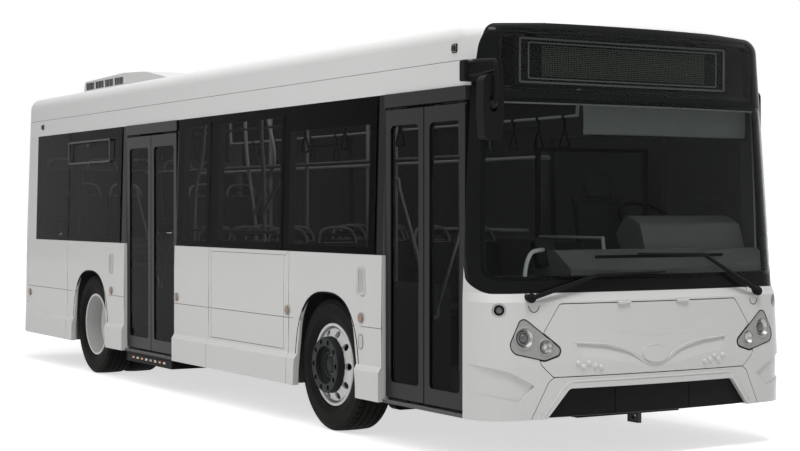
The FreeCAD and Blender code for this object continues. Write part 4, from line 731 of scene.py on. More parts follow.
# %% Rays at the nose
def caster(*names):
    """Ray-casting tree over several nodes."""
    form = bmesh.new()
    for name in names:
        form.from_mesh(NODES[name].data)
    tree = BVHTree.FromBMesh(form)
    form.free()
    return tree


front_faces = caster("headlamps", "front_corners", "front_flap", "bumper", "front_mask", "windscreen")


def nose(x, z, tree=front_faces):
    """The place and direction of the nose's skin where it is seen from the front."""
    return tree.ray_cast(Vector((x, -6.0, z)), Vector((0, 1, 0)))[:2]


def nose_y(x, z, tree=front_faces):
    return nose(x, z, tree)[0].y


print("nose at the middle of the flap", [round(v, 3) for v in nose(0, 0.65)[0]])


# %% Bowls cut into a node
def carved(name, node_name, cutters, material):
    """A copy of a CAD node with turned forms cut out of it, which stands for the node."""
    mesh = NODES[node_name].data
    made = piece(name, [([v.co for v in mesh.vertices], [tuple(f.vertices) for f in mesh.polygons])], material)
    cutter = new_object("cutter", clean_mesh("cutter", cutters))
    cut = made.modifiers.new("carve", "BOOLEAN")
    cut.operation, cut.solver, cut.object = "DIFFERENCE", "EXACT", cutter
    view = bpy.context.evaluated_depsgraph_get()
    result = bpy.data.meshes.new_from_object(made.evaluated_get(view))
    made.modifiers.clear()
    made.data = result
    bpy.data.objects.remove(cutter)
    result.set_sharp_from_angle(angle=math.radians(38))
    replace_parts(made, node_name)


print("ready to carve")

# %% Lamp bowls, projectors and bulbs
BOWLS = [("outer_bowl_", 0.973, 0.798, 0.062, 0.034), ("inner_bowl_", 0.828, 0.738, 0.046, 0.030)]  # x, z, r, deep
PROJECTOR = [(1, 0), (1, 0.56), (0.60, 0.56), (0.52, 0.52), (0.30, 0.44), (0.12, 0.26), (0.06, 0)]
PROJECTOR_RING = [(0.62, 0.56), (0.48, 0.56), (0.48, 0.64), (0.62, 0.66)]
BULB = [(1, 0), (1, 0.34), (0.50, 0.32), (0.28, 0.22), (0.20, 0)]         # shares of depth and radius
RING = [(-0.006, 1.00), (0.003, 0.985), (0.0065, 1.03), (0.006, 1.10), (0.001, 1.24), (-0.006, 1.24)]
cutters = []
for hand, side in SIDES:
    rings = []
    for name, x, z, r, deep in BOWLS:
        def sunk(steps):
            return [(-deep * a, r * b) for a, b in steps]

        rim = side * r * 1.1                     # the ray meets the skin at the inner edge of the bowl
        at, out = nose(side * x - rim, z)
        out = nose(side * x, z)[1] if name == "outer_bowl_" else out
        at = at + Vector((rim, -rim * out.x / out.y, 0))
        cutters.append(lathe([(0.030, 0.0), (0.030, r), (0.0, r), (-deep, r * 0.90), (-deep, 0.0)], at, out, 48))
        rings.append(lathe([(a, r * b) for a, b in RING], at, out, 48, closed=True))
        floor_at = -deep + 0.001
        bowl = [(floor_at, 0.0), (floor_at, r * 0.44), (-deep * 0.80, r * 0.60), (-deep * 0.45, r * 0.80),
                (-0.002, r * 0.985)]
        piece(name + hand, [lathe(bowl, at, out, 48)], BOWL_METAL)
        if name == "outer_bowl_":
            piece("projector_" + hand, [lathe(sunk(PROJECTOR), at, out, 40)], SMOKE_LENS)
            edge = lathe(sunk(PROJECTOR_RING), at, out, 40, closed=True)
        else:
            piece("bulb_" + hand, [lathe(sunk(BULB), at, out, 32)], BULB_PALE)
    piece("headlamp_rings_" + hand, rings, LAMP_GREY)
    piece("projector_rings_" + hand, [edge], RIM_GREY)
carved("headlamp_housings", "headlamps", cutters, LAMP_GREY)
print("bowls", len(cutters))

# %% Turn lamps
TURN_LAMP_X, TURN_LAMP_Y, TURN_LAMP_Z = 1.118, -4.569, 0.972
TURN_YAW, TURN_SUNK = math.radians(35), 0.020
TURN_RING = [(0.0, 0.0255), (0.014, 0.0255), (0.017, 0.0285), (0.014, 0.0325), (0.0, 0.0325)]
TURN_LENS = [(0.0, 0.0), (0.0, 0.025), (0.010, 0.025), (0.018, 0.020), (0.022, 0.010), (0.023, 0.0)]
for hand, side in SIDES:
    out = Vector((side * math.sin(TURN_YAW), -math.cos(TURN_YAW), 0))
    at = Vector((side * TURN_LAMP_X, TURN_LAMP_Y, TURN_LAMP_Z)) - out * TURN_SUNK
    piece("turn_lamp_ring_" + hand, [lathe(TURN_RING, at, out, 36, closed=True)], RUBBER_AND_GAP_SHADE_BLACK)
    piece("turn_lamp_lens_" + hand, [lathe(TURN_LENS, at, out, 32)], SMOKE_LENS)
print("turn lamps", len(SIDES))

# %% [markdown]
# ## Gaskets, and painted shade round the headlamps
# A thin black rubber gasket runs round the rear window. A like black bar lies in the gap round
# each headlamp as painted shade: it gives the dark outline that the gap's shade makes. A path
# could be typed in, but it would never quite meet the housing. The edge is in the mesh already:
# it is where the skin stops facing outward. So the loop is read from there, and a round bar
# follows it.

# %% Round bars along paths
def rods(name, paths, radius, material, body="coach", closed=False, smooth=False):
    """Round bars along paths, in one curve object."""
    curve = bpy.data.curves.new(name, "CURVE")
    curve.dimensions = "3D"
    curve.bevel_depth, curve.bevel_resolution, curve.resolution_u = radius, 2, 6
    curve.use_fill_caps = True
    for path in paths:
        spline = curve.splines.new("NURBS" if smooth else "POLY")
        spline.points.add(len(path) - 1)
        for point, place in zip(spline.points, path):
            point.co = (*place, 1)
        if smooth:
            spline.order_u = 3
            spline.use_endpoint_u = not closed
        spline.use_cyclic_u = closed
    curve.materials.append(material)
    made = new_object(name, curve)
    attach(made, body)
    return made


print("bars ready")

# %% Gaskets, and painted gap shade, along CAD edges
def outer_loops(name, facing, level=0.35):
    """Closed loops where a node's skin turns from facing a direction to facing away from it."""
    form, facing = merged(name), Vector(facing)
    skin = {f for f in form.faces if f.normal.dot(facing) > level}
    follow = {}
    for edge in form.edges:
        if sum(f in skin for f in edge.link_faces) == 1:
            for a, b in (edge.verts, reversed(edge.verts)):
                follow.setdefault(a.index, []).append(b.index)
    places = {v.index: v.co.copy() for v in form.verts}
    loops, seen = [], set()
    for first in follow:
        if first in seen:
            continue
        loop, here = [], first
        while here is not None:
            seen.add(here)
            loop.append(places[here])
            here = next((k for k in follow[here] if k not in seen), None)
        loops.append(loop)
    form.free()
    return loops


def gasket_and_gap_shade_paths(name, facing, wide, step):
    """The node's outer loops that are wider than wide, with points at least a step apart."""
    paths = []
    for loop in outer_loops(name, facing):
        if max(p.x for p in loop) - min(p.x for p in loop) > wide:
            kept = [loop[0]]
            for point in loop[1:]:
                if (point - kept[-1]).length > step:
                    kept.append(point)
            paths.append(kept)
    print(name, "gasket and gap shade points", [len(path) for path in paths])
    return paths


# Painted shade: a black bar in the gap round each headlamp gives the gap's dark outline.
rods("headlamp_gap_shade_bars", gasket_and_gap_shade_paths("headlamps", (0, -1, 0), 0.25, 0.008), 0.0032, RUBBER_AND_GAP_SHADE_BLACK, closed=True)

# %% [markdown]
# ## Sensor bumps and wiper covers
# Small parking sensors stand on the flap as low domes in two loose groups, and each wiper
# pivot has a U-shaped cover, seen as a fine dark line. They could be sculpted into the nose,
# but on the bus they are fitted parts, and the sensors ride on the flap when it opens. So they
# are pieces of their own, and a ray cast at the nose gives their depth: nothing floats.

# %% Small fittings of the nose
SENSORS = [(-0.599, 0.631), (-0.560, 0.607), (-0.518, 0.629), (-0.474, 0.608), (-0.429, 0.601),
           (0.416, 0.598), (0.464, 0.610), (0.504, 0.631), (0.539, 0.606), (0.582, 0.633)]      # x, z
DOME = [(-0.004, 0.0185), (0.003, 0.0185), (0.006, 0.0165), (0.010, 0.0125), (0.0125, 0.0065), (0.013, 0.0)]
COVER_MID = (0.900, 1.035)
COVER_LINE = [(-0.040, 0.050), (-0.040, -0.030), (-0.030, -0.066), (0, -0.082), (0.030, -0.066), (0.040, -0.030),
              (0.040, 0.050)]
flap_faces = caster("front_flap")
domes = [lathe(DOME, (x, nose_y(x, z, flap_faces), z), (0, -1, -0.05), 24) for x, z in SENSORS]
piece("parking_sensors", domes, COACH_WHITE, "front_lid")


def laid(points, tree, sink):
    """Points in (x, z) laid on the skin of the nose and sunk into it a little."""
    return [(x, nose_y(x, z, tree) + sink, z) for x, z in points]


for hand, side in SIDES:
    line = [(side * (COVER_MID[0] + a), COVER_MID[1] + b) for a, b in COVER_LINE]
    rods("wiper_cover_line_" + hand, [laid(line, front_faces, 0.0005)], 0.0028, SATIN_BLACK, smooth=True)
print("sensors", len(domes))

# %% [markdown]
# ## Crests of the nose
# The pressed shapes of the nose end in rounded crests that catch the light: along each swoosh
# arm, round the oval boss and round the mouth. The frame has these shapes, but their edges are
# too soft to show under even light, and a bump would be missing from the outline. So each
# crest is a slim half-sunk bar of the same paint, laid on the skin by rays.

# %% A smooth line through points
def through(points, steps=5):
    """A smooth line through points, with a few steps between neighbours."""
    line, ends = [], [points[0]] + list(points) + [points[-1]]
    for corners in zip(ends, ends[1:], ends[2:], ends[3:]):
        for k in range(steps):
            t = k / steps
            line.append(tuple(0.5 * (2 * q + (r - p) * t + (2 * p - 5 * q + 4 * r - s) * t * t +
                                     (3 * q - p - 3 * r + s) * t ** 3) for p, q, r, s in zip(*corners)))
    return line + [tuple(points[-1])]


print("a line through 3 places has", len(through([(0, 0), (1, 0), (1, 1)])), "points")

# %% Crests on flap and bumper
SWOOSH_TOP = [(0.628, 0.764), (0.500, 0.752), (0.395, 0.746), (0.300, 0.728), (0.205, 0.700), (0.135, 0.664),
              (0.112, 0.630)]
BOSS_Z, BOSS_HALF_X, BOSS_HALF_Z = 0.669, 0.110, 0.058
MOUTH_LIP = [(0.838, 0.318), (0.715, 0.470), (0.676, 0.508), (0.620, 0.518), (0.0, 0.520)]


def finer(points, step=0.02):
    line = []
    for (x0, z0), (x1, z1) in zip(points, points[1:]):
        n = max(1, int(math.hypot(x1 - x0, z1 - z0) / step))
        line += [(x0 + (x1 - x0) * k / n, z0 + (z1 - z0) * k / n) for k in range(n)]
    return line + [points[-1]]


crests = [laid(finer([(side * x, z) for x, z in through(SWOOSH_TOP)]), flap_faces, 0.0035) for side in (-1, 1)]
rods("swoosh_crests", crests, 0.0065, COACH_WHITE, "front_lid")
oval = [(BOSS_HALF_X * math.cos(k * math.pi / 24), BOSS_Z + BOSS_HALF_Z * math.sin(k * math.pi / 24))
        for k in range(48)]
rods("boss_rim", [laid(oval, flap_faces, 0.002)], 0.0045, COACH_WHITE, "front_lid", closed=True)
bumper_faces = caster("bumper")
lip = finer(MOUTH_LIP + [(-x, z) for x, z in reversed(MOUTH_LIP[:-1])])
lip = [(x, z) for x, z in lip if nose(x, z, bumper_faces)[0]]
rods("mouth_lip", [laid(lip, bumper_faces, 0.002)], 0.0065, COACH_WHITE)
print("crests", len(crests), "lip points", len(lip))

# %% [markdown]
# ## Wipers
# Each wiper has a cranked arm on a round pivot, thick to its elbow and slim beyond it, and a
# long blade with a thin rubber edge. One straight blade would cut into the curved glass at one
# place and float at another. So the blade is a chain of short bars, and a ray gives each joint
# of the chain the depth of the glass.

# %% Wiper arms and blades
WIPERS = [((-0.929, 1.046), (-0.425, 1.180), (0.115, 1.192), -0.700, 0.375, 1.172),
          ((0.929, 1.046), (0.455, 1.300), (-0.100, 1.312), -0.425, 0.640, 1.298)]
# each: pivot, elbow and end of the arm in (x, z), then the blade's x range and z
BLADE_STEPS = 12
PIVOT_GAP, ELBOW_GAP, END_GAP, BLADE_GAP, EDGE_GAP = 0.044, 0.034, 0.030, 0.016, 0.012
PIVOT_CAP = [(0.0, 0.0), (0.0, 0.024), (0.050, 0.024), (0.062, 0.030), (0.078, 0.030), (0.084, 0.022), (0.084, 0.0)]


def bar(tail, head, r0, r1, segments):
    """Round bar between two places, with a radius at each end."""
    long = (head - tail).length
    return lathe([(0.0, 0.0), (0.0, r0), (long, r1), (long, 0.0)], tail, head - tail, segments)


def off_glass(x, z, gap):
    return Vector((x, nose_y(x, z) - gap, z))


arms, blades, caps = [], [], []
for pivot, elbow, end, x0, x1, z in WIPERS:
    arms.append(bar(off_glass(*pivot, PIVOT_GAP), off_glass(*elbow, END_GAP), 0.0165, 0.0125, 12))
    arms.append(bar(off_glass(*elbow, ELBOW_GAP), off_glass(*end, END_GAP), 0.0110, 0.0060, 12))
    for k in range(BLADE_STEPS):
        xa, xb = (x0 + (x1 - x0) * m / BLADE_STEPS for m in (k, k + 1))
        tail, head = off_glass(xa, z, BLADE_GAP), off_glass(xb, z, BLADE_GAP)
        blades.append(bar(tail, head, 0.0075, 0.0075, 8))
        at = (xa, nose_y(xa, z - 0.012) - EDGE_GAP, z - 0.014)
        blades.append(plate(oblong((0, 0), ((head - tail).length, 0.018)), at, head - tail, (0, 0.2, 1), 0.003))
    caps.append(lathe(PIVOT_CAP, off_glass(*pivot, -0.030), (0, -1, 0), 24))
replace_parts(piece("wiper_arms", arms, GRAINED_BLACK), "wipers")
piece("wiper_blades", blades, RUBBER_AND_GAP_SHADE_BLACK)
piece("wiper_pivots", caps, GRAINED_BLACK, bevel=0.002)
print("wipers", len(WIPERS))

# %% [markdown]
# ## Mirror glasses
# The frame's mirror housings are open at the back, where the glasses sit. The near one also
# has a ball joint in its front pocket and a short rod below. A glass could be a face of the
# housing with a second finish, but it stands behind a thin lip and has an edge of its own. So
# it is a thin plate with round corners, almost perfectly smooth and metallic.

# %% Mirrors
for hand, width, height, at in (("near", 0.118, 0.330, (-1.260, -4.6455, 2.215)),
                                ("off", 0.130, 0.340, (1.318, -4.0905, 2.287))):
    piece(hand + "_mirror_glass", [plate(rounded(width, height, 0.022), at, *REARWARD, 0.0035)], MIRROR_FACE,
          bevel=0.001)
BALL_R = 0.022
BALL = [(BALL_R * math.sin(math.radians(a)), BALL_R * math.cos(math.radians(a))) for a in range(-90, 91, 15)]
SOCKET = [(0.0, 0.0), (0.0, 0.030), (0.006, 0.030), (0.010, 0.026), (0.010, 0.0)]
piece("mirror_ball", [lathe(BALL, (-1.262, -4.724, 2.235), (0, -1, 0), 24),
                      lathe(SOCKET, (-1.262, -4.728, 2.235), (0, 1, 0), 28)], SATIN_BLACK)
rods("mirror_lower_rod", [[(-1.262, -4.685, 2.030), (-1.262, -4.685, 1.975), (-1.250, -4.678, 1.955)]], 0.006,
     SATIN_BLACK)
print("mirror glasses fitted")

# %% [markdown]
# ## Destination display
# The display has nested frames and a field of small lamp dots. It is switched off, so every
# dot is a dim grey square. A dotted texture could show them, but it would be lost when only
# the mesh is kept. Loose squares in one mesh cost two triangles a dot, which is little.

# %% Flat frames
def frame_faces(n, i, j):
    """Faces of one length of a flat frame, between its corners i and j of n."""
    return [(i, j, n + j, n + i), (2 * n + i, 3 * n + i, 3 * n + j, 2 * n + j),
            (i, 2 * n + i, 2 * n + j, j), (n + i, n + j, 3 * n + j, 3 * n + i)]


def ring_plate(outer, inner, origin, across, up, thick):
    """Flat frame between two outlines with the same number of points."""
    n = len(outer)
    faces = [face for i in range(n) for face in frame_faces(n, i, (i + 1) % n)]
    return placed([outer, inner], origin, across, up, thick), faces


square = ring_plate(oblong((0, 0), (3, 3)), oblong((1, 1), (2, 2)), (0, 0, 0), *FORWARD, 1)
print("faces of a square frame", len(square[1]))

# %% Display field and frames
SIGN_FACE_Y, SIGN_MID_Z = -4.3905, 2.545
frames = []
for width, height, band, thick in ((1.700, 0.290, 0.012, 0.006), (1.560, 0.236, 0.008, 0.004)):
    frames.append(ring_plate(rounded(width, height, 0.012), rounded(width - 2 * band, height - 2 * band, 0.008),
                             (0, SIGN_FACE_Y, SIGN_MID_Z), *FORWARD, thick))
piece("sign_frames", frames, SIGN_TRIM)
print("sign frames", len(frames))

# %% Field of lamp dots
DOT_STEP, DOT = 0.0125, 0.0078
COLUMNS, ROWS = 108, 16
dots = []
for row in range(ROWS):
    for column in range(COLUMNS):
        x = (column - (COLUMNS - 1) / 2) * DOT_STEP
        z = SIGN_MID_Z + (row - (ROWS - 1) / 2) * DOT_STEP
        dots.append(([(x + a * DOT / 2, SIGN_FACE_Y - 0.0008, z + b * DOT / 2)
                      for a, b in ((-1, -1), (1, -1), (1, 1), (-1, 1))], [(0, 1, 2, 3)]))
piece("sign_dots", dots, LED_GREY)
print("dots", COLUMNS * ROWS)

# %% [markdown]
# ## Sun blind
# A plain roller blind hangs behind the top of the windscreen, on the driver's side. It could
# be left to the cloth simulation, but a blind with a weight bar in its hem stays almost flat.
# So two shallow waves in a grid of points give it, and its flat size is printed.

# %% Blind, roller and header strip
LEFT, RIGHT, FOOT, TOP, BLIND_Y = -0.28, 1.12, 2.085, 2.300, -4.300
ACROSS, DOWN = 28, 8
HEADER_Z, HEADER_BEHIND = 2.272, 0.030
points, faces = [], []
for j in range(DOWN + 1):
    drop = j / DOWN
    for i in range(ACROSS + 1):
        share = i / ACROSS
        sway = 0.004 * math.sin(share * 9.0 + 0.8) * drop + 0.006 * math.sin(drop * math.pi)
        points.append((LEFT + share * (RIGHT - LEFT), BLIND_Y - sway, TOP - drop * (TOP - FOOT)))
for j in range(DOWN):
    for i in range(ACROSS):
        n = j * (ACROSS + 1) + i
        faces.append((n, n + 1, n + ACROSS + 2, n + ACROSS + 1))
blind = piece("sun_blind", [(points, faces)], BLIND_GREY)
hem = rods("sun_blind_hem", [[(LEFT, BLIND_Y - 0.003, FOOT), (RIGHT, BLIND_Y - 0.004, FOOT)]], 0.005, SATIN_BLACK)
rods("sun_blind_roller", [[(LEFT - 0.03, BLIND_Y, TOP), (RIGHT + 0.02, BLIND_Y, TOP)]], 0.016, SATIN_BLACK)
strip = laid([(x / 20, HEADER_Z) for x in range(-21, 22)], front_faces, HEADER_BEHIND)
rods("header_strip", [strip], 0.011, HEADER_GREY)
print("blind", round(RIGHT - LEFT, 3), "x", round(TOP - FOOT, 3))

# %% [markdown]
# ## Side markers and reflectors
# Small oval amber markers sit along the skirt in a light rim; a square one stands high at each
# end of the side, where the roof begins. A tall oval reflector is behind the front door. Each
# could be a flat decal, but their rims stand out and throw a small shadow. So each is a stack
# of thin plates: a rim or base, a lens, and its ribs or edge.

# %% Rims and ribs of the side markers
rims, ribs = [], []
for low, high in solid_boxes("side_lamps"):
    side = 1 if low.x > 0 else -1
    y, z = (low.y + high.y) / 2, (low.z + high.z) / 2
    rims.append(ring_plate(rounded(0.080, 0.076, 0.037), rounded(0.060, 0.058, 0.028), (side * 1.2500, y, z),
                           *sideways(side), 0.007))
    for k in (-1, 0, 1):
        ribs.append(plate(rounded(0.004, 0.040, 0.0018, 2), (side * 1.2635, y + 0.013 * k, z), *sideways(side),
                          0.0015))
piece("side_lamp_rims", rims, RIM_GREY, bevel=0.0015)
piece("side_lamp_ribs", ribs, AMBER_LENS)
print("side markers", len(rims))

# %% Upper markers
UPPER_MARKERS = [(3.935, 2.464), (-4.204, 2.614)]        # y, z
UPPER_LAYERS = [("bases", 0.062, 0.058, 0.010, -0.004, 0.010, SATIN_BLACK, 0.002),
                ("lenses", 0.044, 0.036, 0.007, 0.006, 0.010, SATIN_BLACK, 0.003),
                ("edges", 0.050, 0.046, 0.008, 0.006, 0.003, AMBER_LENS, 0.001)]
# each: width, height, corner, how far out it starts, thickness, finish, softness of its edge
walls = caster("near_side_panels", "off_side_panels", "roof_panels", "front_corners", "rear_body", "roof_unit")


def wall_x(y, z, side):
    return walls.ray_cast(Vector((side * 3, y, z)), Vector((-side, 0, 0)))[0].x


for label, width, height, corner, start, thick, material, soft in UPPER_LAYERS:
    forms = [plate(rounded(width, height, corner), (wall_x(y, z, side) + side * start, y, z), *sideways(side), thick)
             for side in (-1, 1) for y, z in UPPER_MARKERS]
    piece("upper_marker_" + label, forms, material, bevel=soft)
print("upper markers", len(forms))

# %% Tall reflectors
for hand, side in SIDES:
    at, way = (side * 1.2500, -3.050, 0.681), sideways(side)
    piece("tall_reflector_rim_" + hand,
          [ring_plate(rounded(0.064, 0.108, 0.031), rounded(0.044, 0.088, 0.021), at, *way, 0.006)], RIM_GREY,
          bevel=0.0015)
    piece("tall_reflector_" + hand, [plate(rounded(0.046, 0.090, 0.022), at, *way, 0.004),
                                     plate(rounded(0.012, 0.050, 0.005), at, *way, 0.0065)], MARK_PALE, bevel=0.001)
print("tall reflectors", len(SIDES))

# %% [markdown]
# ## Filler and vent covers
# Two oblong covers with round ends are let into each side behind the doors. A striped bump
# would do from far away, but not from beside the bus. A frame and a column of thin level ribs
# need few faces, and they catch the light as real slats do.

# %% Oblong covers
OBLONGS = [(-3.052, 1.098), (1.820, 1.085)]          # y, z
OBLONG_W, OBLONG_H, FRAME_W = 0.088, 0.196, 0.007
RIBS, RIB_STEP = 9, 0.0165
for hand, side in SIDES:
    frames, ribs = [], []
    for y, z in OBLONGS:
        x = side * 1.2502
        frames.append(ring_plate(rounded(OBLONG_W, OBLONG_H, 0.036),
                                 rounded(OBLONG_W - 2 * FRAME_W, OBLONG_H - 2 * FRAME_W, 0.029),
                                 (x, y, z), *sideways(side), 0.0045))
        ribs += [plate(rounded(OBLONG_W - 0.022, 0.0075, 0.003, 2), (x, y, z + RIB_STEP * (k - RIBS // 2)),
                       *sideways(side), 0.0028) for k in range(RIBS)]
    piece("oblong_frames_" + hand, frames, COACH_WHITE, bevel=0.0012)
    piece("oblong_ribs_" + hand, ribs, RIB_GREY)
print("oblong covers", 2 * len(OBLONGS))

# %% [markdown]
# ## Wheel arches
# On the real bus the arches are round at the top, with a black rubber bead along the edge. The
# frame's opening is larger, because a steered wheel needs the room. It could be filled in the
# CAD, but then the wheel would strike it. So a thin painted skin just behind the side skin
# gives the round edge, a spline through a few heights over the axle, and the bead follows it.

# %% Round arch skins and beads
ROUND_ARCH = [(-0.487, 0.525), (-0.478, 0.600), (-0.448, 0.722), (-0.385, 0.846), (-0.285, 0.940),
              (-0.150, 0.992), (0.0, 1.004)]             # from the axle, height
ARCH_COVER = [(-0.520, 0.525), (-0.520, 0.600), (-0.520, 0.760), (-0.520, 1.000), (-0.400, 1.030),
              (-0.200, 1.030), (0.0, 1.030)]
SKIN_THICK = 0.004


def whole_arch(half):
    return half + [(-a, z) for a, z in reversed(half[:-1])]


inner = whole_arch(through(ROUND_ARCH))
outer = whole_arch([tuple((1 - t) * p + t * q for p, q in zip(a, b)) for a, b in zip(ARCH_COVER, ARCH_COVER[1:])
                    for t in (0, 0.2, 0.4, 0.6, 0.8)] + [ARCH_COVER[-1]])
n = len(inner)
skin_faces = [face for i in range(n - 1) for face in frame_faces(n, i, i + 1)]
skin_faces += [(end, n + end, 3 * n + end, 2 * n + end) for end in (0, n - 1)]
for hand, side in SIDES:
    skins, beads = [], []
    x = side * (SIDE_SKIN_X - 0.0008)
    for axle_y in (FRONT_AXLE_Y, REAR_AXLE_Y):
        skins.append(([(x - side * t, axle_y + a, z) for t in (0, SKIN_THICK) for line in (outer, inner)
                       for a, z in line], skin_faces))
        beads.append([(x - side * SKIN_THICK, axle_y + a * 0.992, z - 0.003) for a, z in inner])
    piece("arch_skins_" + hand, skins, COACH_WHITE)
    rods("arch_beads_" + hand, beads, 0.0075, RUBBER_AND_GAP_SHADE_BLACK)
print("arch points", n)

# %% [markdown]
# ## Window trim
# A hopper window has a frame round it and its own small handle. Rubber lips run down the
# meeting edges of the door leaves, and a gasket runs round the rear window. Dark lines painted
# on the panes would stay behind when a door opens. So the lips are thin blocks that ride on
# their leaves, and each takes its size from the box of its leaf.

# %% Hopper frames
HOPPERS = [(-1, 1.86, 3.03), (1, 1.86, 3.03), (1, -1.60, -0.62)]      # side, y range
HOPPER_X, HOPPER_Z, HANDLE_Z = 1.2452, 2.160, 2.225
for number, (side, y0, y1) in enumerate(HOPPERS):
    x, mid, way = side * HOPPER_X, (y0 + y1) / 2, sideways(side)
    bars = [ring_plate(rounded(y1 - y0, 0.225, 0.016), rounded(y1 - y0 - 0.036, 0.189, 0.010), (x, mid, HOPPER_Z),
                       *way, 0.004), plate(rounded(0.060, 0.014, 0.006), (x, mid, HANDLE_Z), *way, 0.010)]
    piece("hopper_frame_%d" % number, bars, FRAME_DARK, bevel=0.001)
print("hopper windows", len(HOPPERS))

# %% Door lips and the rear gasket
LIP = 0.004


def block(low, high):
    return plate(oblong(low[:2], high[:2]), (0, 0, low[2]), (1, 0, 0), (0, 1, 0), high[2] - low[2])


for leaf in LEAVES:
    low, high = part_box(leaf + "_leaf")
    lips = [block((low.x + 0.004, y0, low.z + 0.01), (low.x + 0.026, y0 + LIP, high.z - 0.01))
            for y0 in (low.y - LIP, high.y)]
    piece(leaf + "_lips", lips, RUBBER_AND_GAP_SHADE_BLACK, leaf, bevel=0.001)
rods("rear_window_gasket", gasket_and_gap_shade_paths("rear_window", (0, 1, 0), 1.0, 0.012), 0.010, RUBBER_AND_GAP_SHADE_BLACK, closed=True)

# %% [markdown]
# ## Roof unit grilles
# Air goes into the roof unit through slots in its sides. Left open, they would show an empty
# box, so behind each opening stands a row of upright fins. They could be copies of one fin,
# but nothing would tie them to the sloping wall. Instead a ray from the side finds the wall
# for each fin, at its foot and at its head.

# %% Grille fins
VENT_Y0, VENT_STEP, VENT_LONG, VENTS, FINS = 3.150, 0.288, 0.262, 4, 6
VENT_LOW, VENT_HIGH = 2.904, 2.968
fins = []
for side in (-1, 1):
    for k in range(VENTS):
        for f in range(FINS):
            y = VENT_Y0 + k * VENT_STEP + VENT_LONG * (f + 0.5) / FINS
            foot, head = wall_x(y, VENT_LOW, side), wall_x(y, VENT_HIGH, side)
            lean = math.atan2(foot - head, VENT_HIGH - VENT_LOW)
            at = ((foot + head) / 2, y, (VENT_LOW + VENT_HIGH) / 2)
            fins.append(plate(rounded(0.010, 0.070, 0.004, 2), at, (0, side, 0),
                              (-math.sin(lean), 0, math.cos(lean)), 0.009))
piece("roof_unit_fins", fins, FRAME_DARK)
print("fins", len(fins))

# %% [markdown]
# ## The tail
# The tail carries columns of round lamps with finely ringed lenses, reflectors, a high brake
# lamp, a blank plate and a pull on the hatch. A lens could be a smooth dome with a ringed
# bump, but rings in the turned profile catch the light more sharply. A dark bulkhead stands
# ahead of the engine, so that no daylight shows through the hatch.

# %% Rear lamps
TAIL_LAMP_X = 1.045
TAIL_COLUMN = [("red", 1.160, 0.056, RED_LENS), ("amber", 1.010, 0.056, AMBER_LENS),
               ("clear", 0.860, 0.056, CLEAR_LENS), ("red_low", 0.745, 0.040, RED_LENS)]       # z, radius
LENS_DEEP, LENS_RINGS = 0.012, 6
rear_faces = caster("rear_body", "engine_hatch", "rear_bumper", "tail_lamps", "rear_window")


def both_sides(forms):
    """Forms and their mirror images across the bus's middle."""
    points, faces = together(forms)
    return [(points, faces), ([(-x, y, z) for x, y, z in points], faces)]


def on_tail(x, z, sunk=0.0):
    return (x, rear_faces.ray_cast(Vector((x, 6, z)), Vector((0, -1, 0)))[0].y - sunk, z)


def lens(radius):
    steps = [(0.0, radius), (LENS_DEEP * 0.7, radius)]
    for k in range(LENS_RINGS):
        share = 1 - k / LENS_RINGS
        steps += [(LENS_DEEP * (1 - 0.35 * share * share), radius * share * 0.96),
                  (LENS_DEEP * (0.93 - 0.35 * share * share), radius * (share - 0.05) * 0.96)]
    return steps + [(LENS_DEEP, 0.0)]


for label, z, r, material in TAIL_COLUMN:
    at = on_tail(TAIL_LAMP_X, z, 0.002)
    piece("tail_lens_" + label, both_sides([lathe(lens(r), at, (0, 1, 0), 36)]), material)
    ring = [(0.0, r + 0.001), (0.010, r + 0.001), (0.010, r + 0.006), (0.0, r + 0.007)]
    piece("tail_ring_" + label, both_sides([lathe(ring, at, (0, 1, 0), 36, closed=True)]), RIM_GREY)
print("lamps in a column", len(TAIL_COLUMN))

# %% Reflectors, plate, bulkhead and pull
TAIL_PLATES = [("high_brake_lamp", rounded(0.300, 0.030, 0.012), on_tail(0, 2.300, 0.002), 0.012, RED_LENS, 0.003),
               ("rear_reflectors", rounded(0.120, 0.040, 0.008), on_tail(1.020, 0.490, 0.001), 0.008, MARK_RED, 0.002),
               ("rear_plate", rounded(0.520, 0.115, 0.010), on_tail(0, 0.455, 0.001), 0.004, PLATE_PALE, 0.001),
               ("engine_bulkhead", oblong((-0.95, 0.40), (0.95, 0.98)), (0, 3.50, 0), -0.012, GRAINED_BLACK, 0.0),
               ("hatch_pull", rounded(0.150, 0.050, 0.020), on_tail(0, 0.700), 0.010, SATIN_BLACK, 0.003)]
for name, outline, at, thick, material, soft in TAIL_PLATES:
    forms = [plate(outline, at, *REARWARD, thick)]
    piece(name, both_sides(forms) if at[0] else forms, material, bevel=soft)
print("plates on the tail", len(TAIL_PLATES))

# %% [markdown]
# ## Ramp marks
# The front edge of the ramp tray carries a row of plain orange and pale marks, so that the
# step is seen. A striped material would need a layout on that edge. Small thin plates don't,
# and they ride on the ramp when it slides out.

# %% Marks on the ramp tray
MARKS, MARK_STEP, RAMP_MID_Y, MARK_X, MARK_Z = 8, 0.105, 0.885, -1.2462, 0.247
marks = [plate(rounded(0.052, 0.018, 0.003), (MARK_X, RAMP_MID_Y + MARK_STEP * (k - (MARKS - 1) / 2), MARK_Z),
               *sideways(-1), 0.002) for k in range(MARKS)]
piece("ramp_marks_pale", marks[::2], MARK_PALE, "ramp")
piece("ramp_marks_orange", marks[1::2], MARK_ORANGE, "ramp")
print("ramp marks", len(marks))

# %% [markdown]
# ## Seats
# Each shell carries a seat pad and a back pad, and a grab loop stands on its back. A bevelled
# box would look like foam, and a cloth simulation is slow for dozens of stiff pads. So a pad
# is built as rings of points on one outline, up to its crown: the sides pull in a little
# between the corners, a sewn channel runs round near the edge, and a subdivision rounds it.

